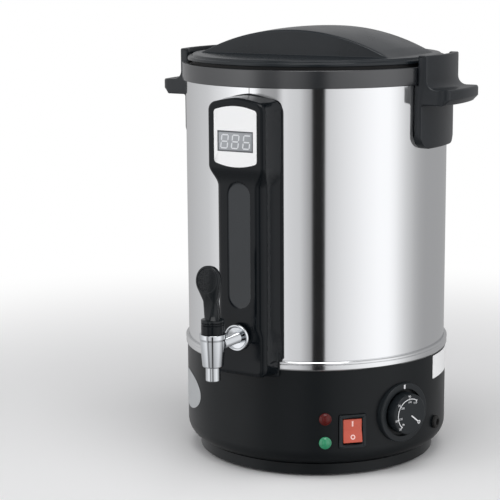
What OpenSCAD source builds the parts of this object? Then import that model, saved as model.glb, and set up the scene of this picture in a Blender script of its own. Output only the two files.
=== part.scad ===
// Electric wax melter: steel pot with a lid, a front tap, a digital display and a heated base.
// The origin is on the axis of the pot at the level of the floor. The tap points along -Y, +Z is up.

/* [Base] */
// How far the moulded base stays inside the jacket
base_inset = -1.5; // [-2:0.1:1.6]
// Wall thickness of the moulded base
base_wall = 2.5; // [2:0.1:3.5]
// Height of the base between the foot ring and the steel band
base_h = 88.3; // [84:0.1:118]
// Radius of the rounding at the lower edge of the base
base_round = 16; // [10:0.5:18]
// How far the foot ring stays inside the moulded base
foot_inset = 11.5; // [11:0.5:16]
// Height of the top of the foot ring above the floor
foot_h = 11.5; // [8:0.5:14]
// Thickness of the foot ring and of the bottom cover
foot_wall = 2.5; // [2:0.1:3.5]
// Gap between the foot ring and the floor
foot_gap = 2; // [1:0.1:3]
// Radius of one rubber foot
pad_r = 8; // [6:0.5:9]
// Distance of the rubber feet from the wall of the foot ring
pad_gap = 5; // [3:0.5:6]

/* [Steel jacket] */
// Outer radius of the steel jacket
jacket_r = 120; // [106:0.5:136]
// Thickness of the jacket sheet
jacket_wall = 0.8; // [0.5:0.1:1.2]
// Height of the jacket between the band and the collar
jacket_h = 238.5; // [225:0.5:300]
// Height of the steel band
band_h = 8.2; // [6:0.2:12]
// How far the band stands out from the jacket
band_out = 2.9; // [2:0.1:4]
// Thickness of the foot of the band, on which the jacket stands
band_foot = 1.2; // [0.8:0.1:2]
// Depth of the lap seam in the jacket
seam_depth = 0.3; // [0.1:0.1:0.4]

/* [Collar and tank] */
// Height of the plastic collar
collar_h = 15.5; // [14:0.5:22]
// How far the collar stands out from the jacket
collar_out = 3; // [2:0.1:4]
// Gap between the tank and the jacket
air_gap = 10.4; // [9:0.2:14]
// Thickness of the tank sheet
tank_wall = 0.8; // [0.5:0.1:1.2]
// Height of the floor of the tank above the base, the room for the heater
heater_room = 20; // [19.5:0.1:20.8]
// Depth of the tank rim below the top of the collar
rim_drop = 2.2; // [1.5:0.1:3]

/* [Lid] */
// How far the flange of the lid stays inside the jacket
lid_inset = 2; // [1:0.2:3]
// Gap between the collar and the flange of the lid
lid_gap = 2.5; // [2:0.1:4]
// Thickness of the edge of the flange
lid_edge = 3.3; // [2.5:0.1:5]
// Height of the step between the edge and the shelf of the lid
lid_step = 2; // [1:0.1:3]
// Width of the stepped edge
lid_edge_w = 4.5; // [3:0.5:8]
// Wall thickness of the lid
lid_wall = 2.4; // [2:0.1:3.5]
// Half width of the grip arch across the lid
arch_half = 46; // [36:1:52]
// Distance of the ends of the grip arch from the edge of the flange
arch_inset = 22; // [20:1:30]
// Rise of the edge of the grip arch above the shelf
arch_rise = 22.7; // [16:0.1:32]
// Extra height of the middle of the arch above its edges
arch_crown = 1.4; // [0.5:0.1:3]
// Depth of the skirt of the lid below the flange
skirt_h = 12; // [9:0.5:18]
// Radial gap between the skirt of the lid and the tank
skirt_gap = 1; // [0.6:0.1:3]
// Half width of one locating lug of the lid
lug_half_w = 18; // [12:1:22]
// How far a lug stands out from the flange
lug_out = 8; // [6:0.5:8.5]

/* [Side handles] */
// Half width of a side handle
handle_half = 34.3; // [28:0.5:40]
// Thickness of the upright of a handle
handle_wall = 8; // [7:0.5:12]
// Height of the upright above the collar
handle_up = 10; // [8:0.5:16]
// Thickness of the bracket against the jacket
bracket_wall = 7; // [6:0.5:9]
// Depth of the bracket below the grip
bracket_drop = 39; // [30:1:60]
// Reach of the grip from the jacket
grip_out = 31; // [26:1:45]
// Thickness of the grip
grip_h = 14; // [11:0.5:18]
// Depth of the top of the grip below the lower edge of the collar
grip_drop = 3.5; // [2:0.5:10]
// Radius of the blend between the upright and the grip
grip_blend = 8; // [4:0.5:9]

/* [Column] */
// Half width of the flange of the column cover
column_half = 32.6; // [31:0.2:36]
// Half width of the face of the waist
waist_half = 23.7; // [21:0.2:25]
// Distance of the face of the waist from the jacket
waist_out = 18.6; // [14:0.2:22]
// Half width of the face of the display head
head_half = 27.4; // [26:0.2:29]
// Distance of the face of the display head from the jacket
head_out = 23.5; // [20:0.5:28]
// Height of the display head
head_h = 75; // [70:1:90]
// Gap between the column cover and the collar
head_drop = 6; // [4:0.5:12]
// Distance of the face of the tap boss from the jacket
boss_out = 21.5; // [19:0.5:26]
// Height of the tap boss
boss_h = 43; // [40:1:50]
// How far the column reaches down below the steel band
column_drop = 6; // [4:0.5:9]
// Wall thickness of the column cover
column_wall = 2.4; // [1.8:0.1:3]
// Half width of the shallow groove in the waist
groove_half = 11.6; // [8:0.2:14]
// Depth of the shallow groove in the waist
groove_depth = 0.8; // [0.4:0.1:1.2]

/* [Display] */
// Half width of the display label
label_half = 21.2; // [20:0.1:22]
// Height of the display label at its middle
label_h = 53; // [50:0.5:58]
// Thickness of the display label
label_t = 1; // [0.6:0.1:1.4]
// Width of the display window
window_w = 34.4; // [30:0.2:36]
// Height of the display window
window_h = 16.8; // [14:0.2:20]
// Height of the display window above the middle of the label
window_up = -4; // [-7:0.5:2]

/* [Tap] */
// Height of the tap shank above the top of the steel band
tap_up = 23; // [20:0.5:26]
// Distance of the tap body from the jacket
tap_out = 62.6; // [58:0.5:75]
// Upper radius of the tap body
tap_r = 11.5; // [10:0.1:12.5]
// Height of the tap body above the shank
tap_rise = 12; // [11:0.5:14]
// Depth of the tap body below the shank
tap_fall = 17; // [16:0.5:24]
// Radius of the nozzle
nozzle_r = 6.3; // [5.4:0.1:6.4]
// Length of the nozzle
nozzle_h = 12.4; // [8:0.2:18]
// Radius of the passage through the nozzle
nozzle_bore_r = 4; // [3:0.1:4.4]
// Radius of the visible part of the shank
shank_r = 4.8; // [4.4:0.1:5.4]
// Radius of the threaded part of the shank
thread_r = 7; // [6.5:0.1:8]
// Radius of the bore of the shank
shank_bore_r = 3.3; // [2.5:0.1:3.6]
// Radius of the escutcheon
escutcheon_r = 12; // [11:0.5:14]
// Height of the tap bonnet
bonnet_h = 9.8; // [9:0.2:12]
// Radius of the paddle of the lever
paddle_r = 11.4; // [9:0.1:12]
// Height of the middle of the paddle above the bonnet
paddle_up = 37; // [32:0.5:42]
// How far the paddle leans out from the axis of the tap body
paddle_lean = 5.5; // [3:0.5:8]
// Thickness of the paddle
paddle_t = 6; // [4:0.5:8]
// Travel of the stem
stem_lift = 5.5; // [4:0.1:5.5]

/* [Controls] */
// Height of the dial above the floor
dial_z = 55.5; // [52:0.5:58]
// Direction of the dial around the base
dial_az = 68; // [66:1:74]
// Radius of the dial bezel
bezel_r = 27; // [25:0.5:30]
// How far the face of the bezel stands out from the base
bezel_out = 3; // [1:0.1:4]
// Radius of the knob
knob_r = 18.5; // [17:0.5:21]
// How far the face of the knob stands out from the bezel
knob_out = 7.5; // [6:0.5:14]
// Radius of the thermostat shaft
shaft_r = 3; // [2.5:0.1:3.5]
// Direction of the switch around the base
switch_az = 44; // [44:0.1:46]
// Height of the middle of the switch above the floor
switch_z = 44.5; // [42:0.5:56]
// Width of the switch bezel
switch_w = 24.5; // [24:0.5:27]
// Height of the switch bezel
switch_h = 30; // [29:0.5:32]
// Width of the rocker
rocker_w = 17.4; // [15:0.2:18]
// Height of the rocker
rocker_h = 22.8; // [21:0.2:25]
// Tilt of the rocker from its middle position
rocker_tilt = 7; // [5:0.5:9]
// Direction of the lamps around the base
lamp_az = 32.5; // [30:0.1:33]
// Height of the red lamp above the floor
red_z = 56.4; // [54:0.1:70]
// Height of the green lamp above the floor
green_z = 34.8; // [32:0.1:36]
// Radius of a lamp lens
lamp_r = 5; // [4.5:0.1:6]
// Direction of the cord gland around the base
gland_az = 92; // [91:0.2:110]
// Height of the cord gland above the floor
gland_z = 35; // [32:0.5:45]
// Radius of the cord passage in the gland
gland_bore_r = 3.2; // [2.5:0.1:3.8]
// Radius of the flange of the gland
gland_r = 6; // [5.8:0.1:8]

/* [Fits] */
// Radial clearance of pieces that turn or slide in each other
run_fit = 0.05; // [0.02:0.01:0.1]
// Gap between fixed pieces with curved faces
seat_gap = 0.2; // [0.15:0.05:0.3]
// Radial clearance around screws
screw_gap = 0.2; // [0.1:0.05:0.4]
// Radius of the screws
screw_r = 2; // [1.5:0.1:2.2]

/* [Hidden] */
$fn = 96;
eps = 0.01;

// Radii of the pot
base_r = jacket_r - base_inset;
base_in = base_r - base_wall;
foot_r = base_r - foot_inset;
pad_circle_r = foot_r - foot_wall - pad_r - pad_gap;
access_r = pad_circle_r - pad_r - 2;
jacket_in = jacket_r - jacket_wall;
tank_out = jacket_in - air_gap;
tank_r = tank_out - tank_wall;
lid_r = jacket_r - lid_inset;

// Levels of the stack
base_top = foot_h + base_h;
band_top = base_top + band_h;
collar_z = band_top + jacket_h;
collar_top = collar_z + collar_h;
lid_z = collar_top + lid_gap;
edge_top = lid_z + lid_edge;
shelf_z = edge_top + lid_step;
rim_z = collar_top - rim_drop;
tank_floor = base_top + heater_room;
jacket_z = base_top + band_foot;
jacket_top = collar_top - 6;

// Points on a fillet of radius r at corner p between its neighbours a and b
function fillet(a, p, b, r, n) =
    let (u = (a - p) / norm(a - p))
    let (v = (b - p) / norm(b - p))
    let (half = acos(u * v) / 2)
    let (c = p + (u + v) / norm(u + v) * r / sin(half))
    let (s = p + u * r / tan(half) - c)
    let (e = p + v * r / tan(half) - c)
    let (start = atan2(s.y, s.x))
    let (turn = (atan2(e.y, e.x) - start + 540) % 360 - 180)
    [for (i = [0:n]) c + r * [cos(start + turn * i / n), sin(start + turn * i / n)]];

// Outline through the points p, each corner rounded by its radius in r
function rounded(p, r, n = 6) =
    let (k = len(p))
    [for (i = [0:k - 1])
        each (r[i] > 0 ? fillet(p[(i + k - 1) % k], p[i], p[(i + 1) % k], r[i], n) : [p[i]])];

// Rectangle w by h around the origin with corners of radius r
function plate(w, h, r, n = 6) =
    rounded([[-w / 2, -h / 2], [w / 2, -h / 2], [w / 2, h / 2], [-w / 2, h / 2]], [r, r, r, r], n);

// Turns its children from the front to direction az
module facing(az) rotate([0, 0, az]) children();

// Lays its children on the plane at distance d in front of the axis and height z, with +Z outward
module outward(d, z) translate([0, -d, z]) rotate([90, 0, 0]) children();

// Ring of height h
module ring(r_out, r_in, h) {
    difference() {
        cylinder(r = r_out, h = h);
        translate([0, 0, -1]) cylinder(r = r_in, h = h + 2);
    }
}

// Hexagonal nut of width s across its flats, drilled to radius r
module hex_nut(s, h, r) {
    difference() {
        cylinder(r = s / sqrt(3), h = h, $fn = 6);
        translate([0, 0, -1]) cylinder(r = r, h = h + 2);
    }
}

// Pan-head screw with its head below z = 0 and its shank above
module pan_screw(length, r = screw_r) {
    cylinder(r = r, h = length);
    difference() {
        translate([0, 0, -r * 1.1]) cylinder(r = r * 1.9, h = r * 1.1);
        for (a = [0, 90]) rotate([0, 0, a]) {
            translate([-r * 1.1, -r * 0.2, -r * 1.1 - 1]) cube([r * 2.2, r * 0.4, 1 + r * 0.6]);
        }
    }
}

// Round tube of radius r with eight sides along a list of points
module wire(path, r) {
    sides = 8;
    k = len(path);
    dir = [for (i = [0:k - 1]) let (d = path[min(i + 1, k - 1)] - path[max(i - 1, 0)]) d / norm(d)];
    rings = [for (i = [0:k - 1])
        let (side = cross(dir[i], abs(dir[i].z) > 0.8 ? [1, 0, 0] : [0, 0, 1]))
        let (u = side / norm(side))
        let (v = cross(dir[i], u))
        for (j = [0:sides - 1]) path[i] + r * (u * cos(360 * j / sides) + v * sin(360 * j / sides))];
    walls = [for (i = [0:k - 2], j = [0:sides - 1])
        let (n = (j + 1) % sides)
        [i * sides + j, (i + 1) * sides + j, (i + 1) * sides + n, i * sides + n]];
    caps = [[for (j = [0:sides - 1]) j], [for (j = [sides - 1:-1:0]) (k - 1) * sides + j]];
    polyhedron(points = rings, faces = concat(walls, caps), convexity = 4);
}

// Points of a smooth curve from a to b that leaves along ta and arrives along tb
function bend(a, ta, b, tb, n = 10) = [for (i = [0:n])
    let (t = i / n)
    let (s = 1 - t)
    s * s * s * a + 3 * s * s * t * (a + ta) + 3 * s * t * t * (b - tb) + t * t * t * b];

// ---- Base ----

// Solid of the base shrunk by t, without its top
module base_solid(t) {
    r = base_r - t;
    low = foot_h + t;
    blend = base_round - t;
    rotate_extrude() {
        translate([0, low]) square([r - blend, base_top - low + (t > 0 ? 1 : 0)]);
        translate([0, low + blend]) square([r, base_top - low - blend + (t > 0 ? 1 : 0)]);
        intersection() {
            translate([r - blend, low + blend]) circle(r = blend);
            square([r, low + blend]);
        }
    }
}

shield_z = base_top - 4;
boss_d = base_in - 4.5;
switch_d = base_r - 0.9;
lamp_hole_r = lamp_r - 0.6;
cutout_w = switch_w - 3.5;
cutout_h = switch_h - 4;
gland_neck_r = gland_r - 1.5;

module base_housing() {
    color("#1d1f21") difference() {
        union() {
            difference() {
                base_solid(0);
                base_solid(base_wall);
                translate([0, 0, foot_h - 1]) cylinder(r = access_r, h = base_wall + 2);
            }
            // Ledge that carries the heat shield
            translate([0, 0, shield_z - 3]) ring(base_in + 1, base_in - 3, 3);
            // Inner seats for the thermostat, the lamps and the gland
            intersection() {
                base_solid(base_wall / 2);
                union() {
                    facing(dial_az) outward(boss_d, dial_z) linear_extrude(base_r) polygon(plate(42, 42, 3));
                    facing(lamp_az) for (z = [red_z, green_z]) {
                        outward(base_in - 1.5, z) cylinder(r = lamp_r + 3, h = base_r);
                    }
                    facing(gland_az) outward(base_in - 1.5, gland_z) cylinder(r = gland_r + 3, h = base_r);
                }
            }
        }
        // Flat seat and cut-out of the switch
        facing(switch_az) {
            outward(switch_d, switch_z) linear_extrude(10) polygon(plate(switch_w + 1, switch_h + 1, 2));
            outward(switch_d - 12, switch_z) linear_extrude(20) polygon(plate(cutout_w, cutout_h, 1));
        }
        // Shaft hole and screw holes of the thermostat
        facing(dial_az) {
            outward(boss_d - 10, dial_z) cylinder(r = shaft_r + 1, h = 30);
            for (x = [-screw_x, screw_x]) translate([x, 0, 0]) {
                outward(boss_d - 10, dial_z) cylinder(r = screw_r + screw_gap, h = 30);
                outward(head_seat_d, dial_z) cylinder(r = screw_r * 1.9 + 0.3, h = 10);
            }
        }
        facing(lamp_az) for (z = [red_z, green_z]) {
            outward(base_in - 10, z) cylinder(r = lamp_hole_r + screw_gap, h = 30);
        }
        facing(gland_az) outward(base_in - 10, gland_z) cylinder(r = gland_neck_r + screw_gap, h = 30);
        for (a = [45:90:315]) rotate([0, 0, a]) {
            translate([screw_circle, 0, foot_h - 1]) cylinder(r = screw_r + screw_gap, h = base_wall + 2);
        }
    }
}

screw_circle = (foot_r - foot_wall + access_r) / 2 + 5;

module bottom_cover() {
    color("#17181a") difference() {
        union() {
            translate([0, 0, foot_h - foot_wall]) cylinder(r = foot_r, h = foot_wall);
            translate([0, 0, foot_gap]) ring(foot_r, foot_r - foot_wall, foot_h - foot_gap - foot_wall / 2);
        }
        // Cooling slots
        for (a = [0:60:300], k = [-2:2]) rotate([0, 0, a]) {
            translate([28, k * 7 - 1.5, foot_h - foot_wall - 1]) cube([30, 3, foot_wall + 2]);
        }
        for (a = [45:90:315]) rotate([0, 0, a]) {
            translate([screw_circle, 0, 0]) cylinder(r = screw_r + screw_gap, h = foot_h + 1);
        }
    }
}

module rubber_feet() {
    color("#101010") for (a = [0:90:270]) rotate([0, 0, a]) {
        translate([pad_circle_r, 0, 0]) rotate_extrude() {
            polygon([[0, 0], [pad_r - 1, 0], [pad_r, 1], [pad_r, foot_h - foot_wall],
                    [0, foot_h - foot_wall]]);
        }
    }
}

module bottom_screws() {
    color("#8c8f92") for (a = [45:90:315]) rotate([0, 0, a]) {
        translate([screw_circle, 0, foot_h - foot_wall]) pan_screw(foot_wall + base_wall + 3);
    }
}

module base_band() {
    r_out = jacket_r + band_out;
    r_in = jacket_r + seat_gap / 2;
    lip = 1.2;
    color("#c9cccf") rotate_extrude() {
        polygon(rounded([[base_in + 0.4, base_top], [r_out - lip, base_top], [r_out, base_top + 2.5],
                [r_out, band_top - 1.5], [r_out - 1, band_top], [r_in, band_top], [r_in, jacket_z],
                [base_in + 0.4, jacket_z]],
            [0, 0.5, 1, 0.5, 0.5, 0, 0, 0], 4));
    }
}

// ---- Jacket, collar and tank ----

tap_z = band_top + tap_up;
column_z = base_top - column_drop;
head_top = collar_z - head_drop;
handle_z = [collar_z - grip_drop - grip_h - 12, collar_z - grip_drop - grip_h - 28];
column_screw_z = [column_z + boss_h + 12, head_top - head_h - 8];

module jacket() {
    color("#d4d6d8") difference() {
        translate([0, 0, jacket_z]) ring(jacket_r, jacket_in, jacket_top - jacket_z);
        // Lap seam down the front
        translate([-0.2, -jacket_r - 1, jacket_z - 1]) cube([0.4, 1 + seam_depth, jacket_top]);
        outward(jacket_r - 10, tap_z) cylinder(r = thread_r + 0.4, h = 20);
        for (z = column_screw_z) outward(jacket_r - 10, z) cylinder(r = screw_r + screw_gap, h = 20);
        // Cable hole behind the display
        outward(jacket_r - 10, head_top - 30) cylinder(r = 5, h = 20);
        for (a = [-90, 90], z = handle_z) {
            facing(a) outward(jacket_r - 10, z) cylinder(r = screw_r + screw_gap, h = 20);
        }
    }
}

collar_r = jacket_r + collar_out;

module collar() {
    ledge_in = tank_out + 1.6;
    inner = lid_r + 0.4;
    color("#2b2e31") rotate_extrude() {
        polygon(rounded([[jacket_r + 0.1, collar_z], [collar_r - 0.7, collar_z], [collar_r, collar_z + 2],
                [collar_r, collar_top], [inner, collar_top], [inner, rim_z - tank_wall],
                [ledge_in, rim_z - tank_wall], [ledge_in, jacket_top - 4], [jacket_in - 2.5, jacket_top - 4],
                [jacket_in - 0.1, jacket_top - 6], [jacket_in - 0.1, jacket_top],
                [jacket_r + 0.1, jacket_top]],
            [0, 0.4, 1.5, 1.2, 0.6, 0, 0.5, 0.5, 0, 0, 0, 0], 4));
    }
}

probe_z = tap_z + 36;

module inner_tank() {
    color("#c4c7c9") difference() {
        rotate_extrude() {
            translate([tank_r, tank_under]) square([tank_wall, rim_z - tank_under]);
            translate([tank_r, rim_z - tank_wall]) square([lid_r + 0.2 - tank_r, tank_wall]);
        }
        outward(tank_r - 10, tap_z) cylinder(r = thread_r + 0.3, h = 20);
        outward(tank_r - 10, probe_z) cylinder(r = probe_r + screw_gap, h = 20);
    }
}

module tank_bottom() {
    color("#c4c7c9") translate([0, 0, tank_under]) cylinder(r = tank_r - run_fit, h = tank_wall);
}

// ---- Heater ----

plate_r = tank_r - 16;
plate_h = 6;
element_ring_r = plate_r - 30;
element_r = 4;
stud_r = 4;
tank_under = tank_floor - tank_wall;
plate_z = tank_under - plate_h;
nut_h = 6;
cold_x = 13;
sensor_az = 120;
cable_az = 11.3;

// Point at radius r and height z in direction az around the pot
function around(az, r, z) = [r * sin(az), -r * cos(az), z];

sensor_hole = around(sensor_az, plate_r - 11.5, shield_z);
cable_hole = around(cable_az, tank_out + 1.7, shield_z);

module heat_plate() {
    color("#a9abad") translate([0, 0, plate_z]) difference() {
        cylinder(r = plate_r, h = plate_h);
        translate([0, 0, -1]) cylinder(r = stud_r + screw_gap, h = plate_h + 2);
    }
}

module heating_element() {
    z = plate_z - element_r;
    color("#8d7f70") {
        difference() {
            translate([0, 0, z]) rotate_extrude() translate([element_ring_r, 0]) circle(r = element_r);
            translate([2 - cold_x, element_ring_r - 2 * element_r, z - 2 * element_r]) {
                cube([2 * cold_x - 4, 4 * element_r, 4 * element_r]);
            }
        }
        for (x = [-cold_x, cold_x]) {
            translate([x, sqrt(element_ring_r ^ 2 - cold_x ^ 2), shield_z - 8]) {
                cylinder(r = element_r - 0.2, h = z - shield_z + 8);
            }
        }
    }
}

module heat_shield() {
    color("#b6b9bb") translate([0, 0, shield_z]) difference() {
        cylinder(r = base_in - 0.5, h = 1);
        translate([0, 0, -1]) cylinder(r = stud_r + screw_gap, h = 3);
        for (x = [-cold_x, cold_x]) {
            translate([x, sqrt(element_ring_r ^ 2 - cold_x ^ 2), -1]) cylinder(r = element_r + 1.5, h = 3);
        }
        // Holes for the sensor line and the display cable
        translate([sensor_hole.x, sensor_hole.y, -1]) cylinder(r = 5, h = 3);
        translate([cable_hole.x, cable_hole.y, -1]) cylinder(r = 4, h = 3);
    }
}

module centre_stud() {
    color("#9fa2a5") translate([0, 0, shield_z - nut_h - 3]) {
        cylinder(r = stud_r, h = tank_under - shield_z + nut_h + 3);
    }
}

module centre_nut() {
    color("#9fa2a5") translate([0, 0, shield_z - nut_h]) hex_nut(13, nut_h, stud_r + run_fit);
}

module thermal_cutout() {
    color("#d8d2c4") translate([-32, -18, plate_z - 9]) {
        cylinder(r = 8.5, h = 9);
        for (y = [-3.6, 2.4]) translate([-0.4, y, -7]) cube([0.8, 1.2, 8]);
    }
}

// ---- Thermostat and dial ----

body_depth = 18;
knob_d = base_r + bezel_out + knob_out;
shaft_end = knob_d - 2.5;

screw_x = 12.5;
head_seat_d = base_r - 1.8;

module thermostat_body() {
    color("#b08d57") facing(dial_az) difference() {
        outward(boss_d - body_depth, dial_z) linear_extrude(body_depth) polygon(plate(36, 36, 2));
        outward(boss_d - 12, dial_z) cylinder(r = shaft_r + run_fit, h = 20);
        for (x = [-screw_x, screw_x]) translate([x, 0, 0]) {
            outward(boss_d - 8, dial_z) cylinder(r = screw_r + run_fit, h = 12);
        }
    }
}

module thermostat_screws() {
    color("#9fa2a5") facing(dial_az) for (x = [-screw_x, screw_x]) translate([x, 0, 0]) {
        outward(head_seat_d, dial_z) rotate([180, 0, 0]) pan_screw(head_seat_d - boss_d + 7);
    }
}

module thermostat_shaft() {
    color("#b9bbbd") facing(dial_az) difference() {
        outward(boss_d - 11, dial_z) cylinder(r = shaft_r, h = shaft_end - boss_d + 11);
        outward(base_r + 2, dial_z) translate([-5, shaft_r * 0.6, 0]) cube([10, 5, 40]);
    }
}

module capillary_bulb() {
    out = around(dial_az, 1, 0);
    start = out * (boss_d - body_depth - 0.6) + [0, 0, dial_z + 10];
    // The line passes below the element, then rises to the bulb
    below = [0.66 * element_ring_r, element_ring_r / 2, shield_z + 4.5];
    clamp = [0.4 * element_ring_r, element_ring_r / 2, plate_z - 3.2];
    color("#b8794a") {
        wire(bend(start, -14 * out, sensor_hole, [0, 0, 30]), 1);
        wire(concat(bend(sensor_hole + [0, 0, 0.02], [0, 0, 5], below, [-12, 0, 0]),
            bend(below + [-0.6, 0, 0.05], [-6, 0, 0], clamp, [-6, 0, 0])), 1);
        translate(clamp + [0.5, 0, 0]) rotate([0, -90, 0]) cylinder(r = 3, h = 0.8 * element_ring_r);
    }
}

module dial_bezel() {
    color("#191b1d") facing(dial_az) difference() {
        outward(base_r - 8, dial_z) rotate_extrude() {
            polygon(rounded([[knob_well_r, 0], [bezel_r + 0.6, 0], [bezel_r, 8 + bezel_out],
                    [knob_well_r, 8 + bezel_out]], [0, 0, 1.5, 0.5], 5));
        }
        cylinder(r = base_r + seat_gap / 2, h = dial_z + 50, $fn = 480);
    }
}

knob_well_r = knob_r + 2.8;
knob_back_d = base_r + 0.9;
knob_skin = 2;

module dial_knob() {
    depth = knob_d - knob_back_d;
    color("#1b1d1f") facing(dial_az) outward(knob_back_d, dial_z) {
        difference() {
            rotate_extrude() {
                polygon(rounded([[0, 0], [knob_r + 0.3, 0], [knob_r, depth], [0, depth]], [0, 0, 1.2, 0], 5));
            }
            translate([0, 0, -1]) cylinder(r = knob_r - knob_skin, h = depth - knob_skin + 1);
        }
        // Hub on the flatted shaft
        difference() {
            translate([0, 0, 0.5]) cylinder(r = shaft_r + 2.5, h = depth - knob_skin);
            difference() {
                translate([0, 0, -1]) {
                    cylinder(r = shaft_r + run_fit, h = shaft_end - knob_back_d + 1 + run_fit);
                }
                translate([-5, shaft_r * 0.6 + run_fit, base_r + 2 - knob_back_d]) cube([10, 5, 40]);
            }
        }
    }
}

// ---- Switch ----

frame_t = 2.2;
rocker_axis_d = switch_d - 2;
trunnion_r = 1.2;

// Lays its children on the axis of the rocker, with Z along the axis
module rocker_axis() translate([0, -rocker_axis_d, switch_z]) rotate([0, 90, 0]) children();

module switch_frame() {
    color("#141516") facing(switch_az) difference() {
        union() {
            outward(switch_d, switch_z) linear_extrude(frame_t) polygon(plate(switch_w, switch_h, 1.5));
            outward(switch_d - 20, switch_z) linear_extrude(20.5) {
                polygon(plate(cutout_w - 0.4, cutout_h - 0.4, 0.8));
            }
        }
        outward(switch_d - 12, switch_z) linear_extrude(20) {
            polygon(plate(rocker_w + 0.8, rocker_h + 1.2, 0.4));
        }
        rocker_axis() cylinder(r = trunnion_r + run_fit, h = switch_w, center = true);
    }
}

module switch_rocker() {
    w = rocker_w;
    h = rocker_h / 2;
    top = switch_d + frame_t + 0.6 - rocker_axis_d;
    color("#d8452b") facing(switch_az) {
        translate([0, -rocker_axis_d, switch_z]) rotate([-rocker_tilt, 0, 0]) {
            rotate([90, 0, 0]) rotate([0, 90, 0]) translate([0, 0, -w / 2]) linear_extrude(w) {
                // Side view: x is up the rocker turned outward, y runs outward from the axis
                polygon(rounded([[-top, -h + 0.5], [-top + 1.3, 0], [-top, h - 0.5], [1, h - 2], [4, 3],
                        [4, -3], [1, -h + 2]], [0.8, 6, 0.8, 1, 1, 1, 1], 4));
            }
        }
        // Trunnions in the sides of the frame
        rocker_axis() cylinder(r = trunnion_r, h = w + 3, center = true);
    }
}

module switch_tabs() {
    color("#c2a15a") facing(switch_az) for (x = [-5, 5], z = [-8, 0, 8]) {
        translate([x - 0.4, 0, 0]) outward(switch_d - 29, switch_z + z - 2.4) cube([0.8, 4.8, 9]);
    }
}

// ---- Lamps and gland ----

module lamp(z, hue) {
    color(hue) facing(lamp_az) {
        outward(base_in - 6, z) cylinder(r = lamp_hole_r, h = base_r - base_in + 6.4);
        outward(base_r + 0.3, z) {
            cylinder(r = lamp_r + 0.5, h = 0.9);
            translate([0, 0, 0.9]) intersection() {
                translate([0, 0, -lamp_r * 0.75]) sphere(r = lamp_r * 1.25);
                cylinder(r = lamp_r, h = lamp_r);
            }
        }
    }
}

module red_lamp() lamp(red_z, "#8e1f1c");

module green_lamp() lamp(green_z, "#1f8a5b");

module lamp_nuts() {
    color("#d9d9d4") facing(lamp_az) for (z = [red_z, green_z]) {
        outward(base_in - 4.5, z) hex_nut(2 * lamp_r + 2, 3, lamp_hole_r + run_fit);
    }
}

module cord_gland() {
    color("#151617") facing(gland_az) outward(base_in - 12, gland_z) difference() {
        union() {
            cylinder(r = gland_neck_r, h = base_r - base_in + 12.5);
            translate([0, 0, base_r - base_in + 12.3]) rotate_extrude() {
                polygon(rounded([[0, 0], [gland_r, 0], [gland_r, 2.5], [gland_bore_r + 1, 3.2], [0, 3.2]],
                    [0, 0, 0.8, 0, 0], 4));
            }
        }
        translate([0, 0, -1]) cylinder(r = gland_bore_r, h = base_r - base_in + 20);
    }
}

module gland_nut() {
    color("#202122") facing(gland_az) outward(base_in - 6.5, gland_z) hex_nut(17, 5, gland_neck_r + run_fit);
}

floor_z = foot_h + base_wall;
block = [44, 14, 12];
block_y = sqrt((base_r - base_round - 0.5) ^ 2 - (block.x / 2) ^ 2) - block.y;

module terminal_block() {
    color("#e6e3da") translate([-block.x / 2, block_y, floor_z]) difference() {
        cube(block);
        for (i = [0:3]) translate([6 + i * 10.6, block.y / 2, block.z - 3]) cylinder(r = 2.2, h = 5);
    }
}

module internal_wiring() {
    r = 1.2;
    gap = 0.7;
    way = tank_out + air_gap / 2;
    sw = around(switch_az, 1, 0);
    clamps = [for (i = [0:3]) [-16 + i * 10.6, block_y - gap, floor_z + 6]];
    tab = sw * (switch_d - 29 - gap) + [0, 0, switch_z + 8];
    thermo = around(dial_az, boss_d - body_depth - gap, dial_z - 8);
    cold = [for (x = [-cold_x, cold_x]) [x, sqrt(element_ring_r ^ 2 - cold_x ^ 2), shield_z - 8 - gap]];
    color("#4a6fa5") {
        wire(bend(clamps[3], [0, -40, 0], tab, 28 * sw), r);
        wire(bend(tab - [0, 0, 8], -36 * sw - [0, 0, 14], thermo, [30, 0, 0]), r);
        wire(bend(clamps[1], [0, -30, 0], cold[0], [0, 0, 30]), r);
        wire(bend(thermo + [0, 0, 6], [-30, 0, 0], cold[1], [0, 0, 30]), r);
        // Cable of the display, up between the tank and the jacket
        wire(concat(bend([40, -60, shield_z - 30], [-10, -20, 10], cable_hole - [0, 0, 3], [0, 0, 10]),
            bend(cable_hole + [0, 0, 5], [0, 0, 8], around(cable_az, way, tank_under + 16), [0, 0, 8]),
            bend(around(cable_az, way, head_top - 70), [0, 0, 20], [0, -way - 2, head_top - 30], [0, -2, 0]),
            [[0, -(head_d - column_wall - 8), head_top - 30]]), r);
    }
}

// ---- Column cover and display ----

// Outline of the flange of the column seen from the front
function flange_outline(inset = 0) = rounded(
    [[-column_half + inset, column_z + inset], [column_half - inset, column_z + inset],
        [column_half - inset, head_top - 6 - inset], [0, head_top + 3 - inset],
        [-column_half + inset, head_top - 6 - inset]],
    [6, 6, 12, column_half ^ 2 / 20, 12], 10);

// Outline of the display head, half wide at its face
function head_outline(half, low, high) = rounded(
    [[-half, low], [half, low], [half, high - 5], [0, high + 1.5], [-half, high - 5]],
    [8, 8, 8, half ^ 2 / 15, 8], 8);

face_d = jacket_r + waist_out;
head_d = jacket_r + head_out;
tapboss_d = jacket_r + boss_out;
head_low = head_top - head_h;
label_mid = head_top - 34;
column_edge = 3;

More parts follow.
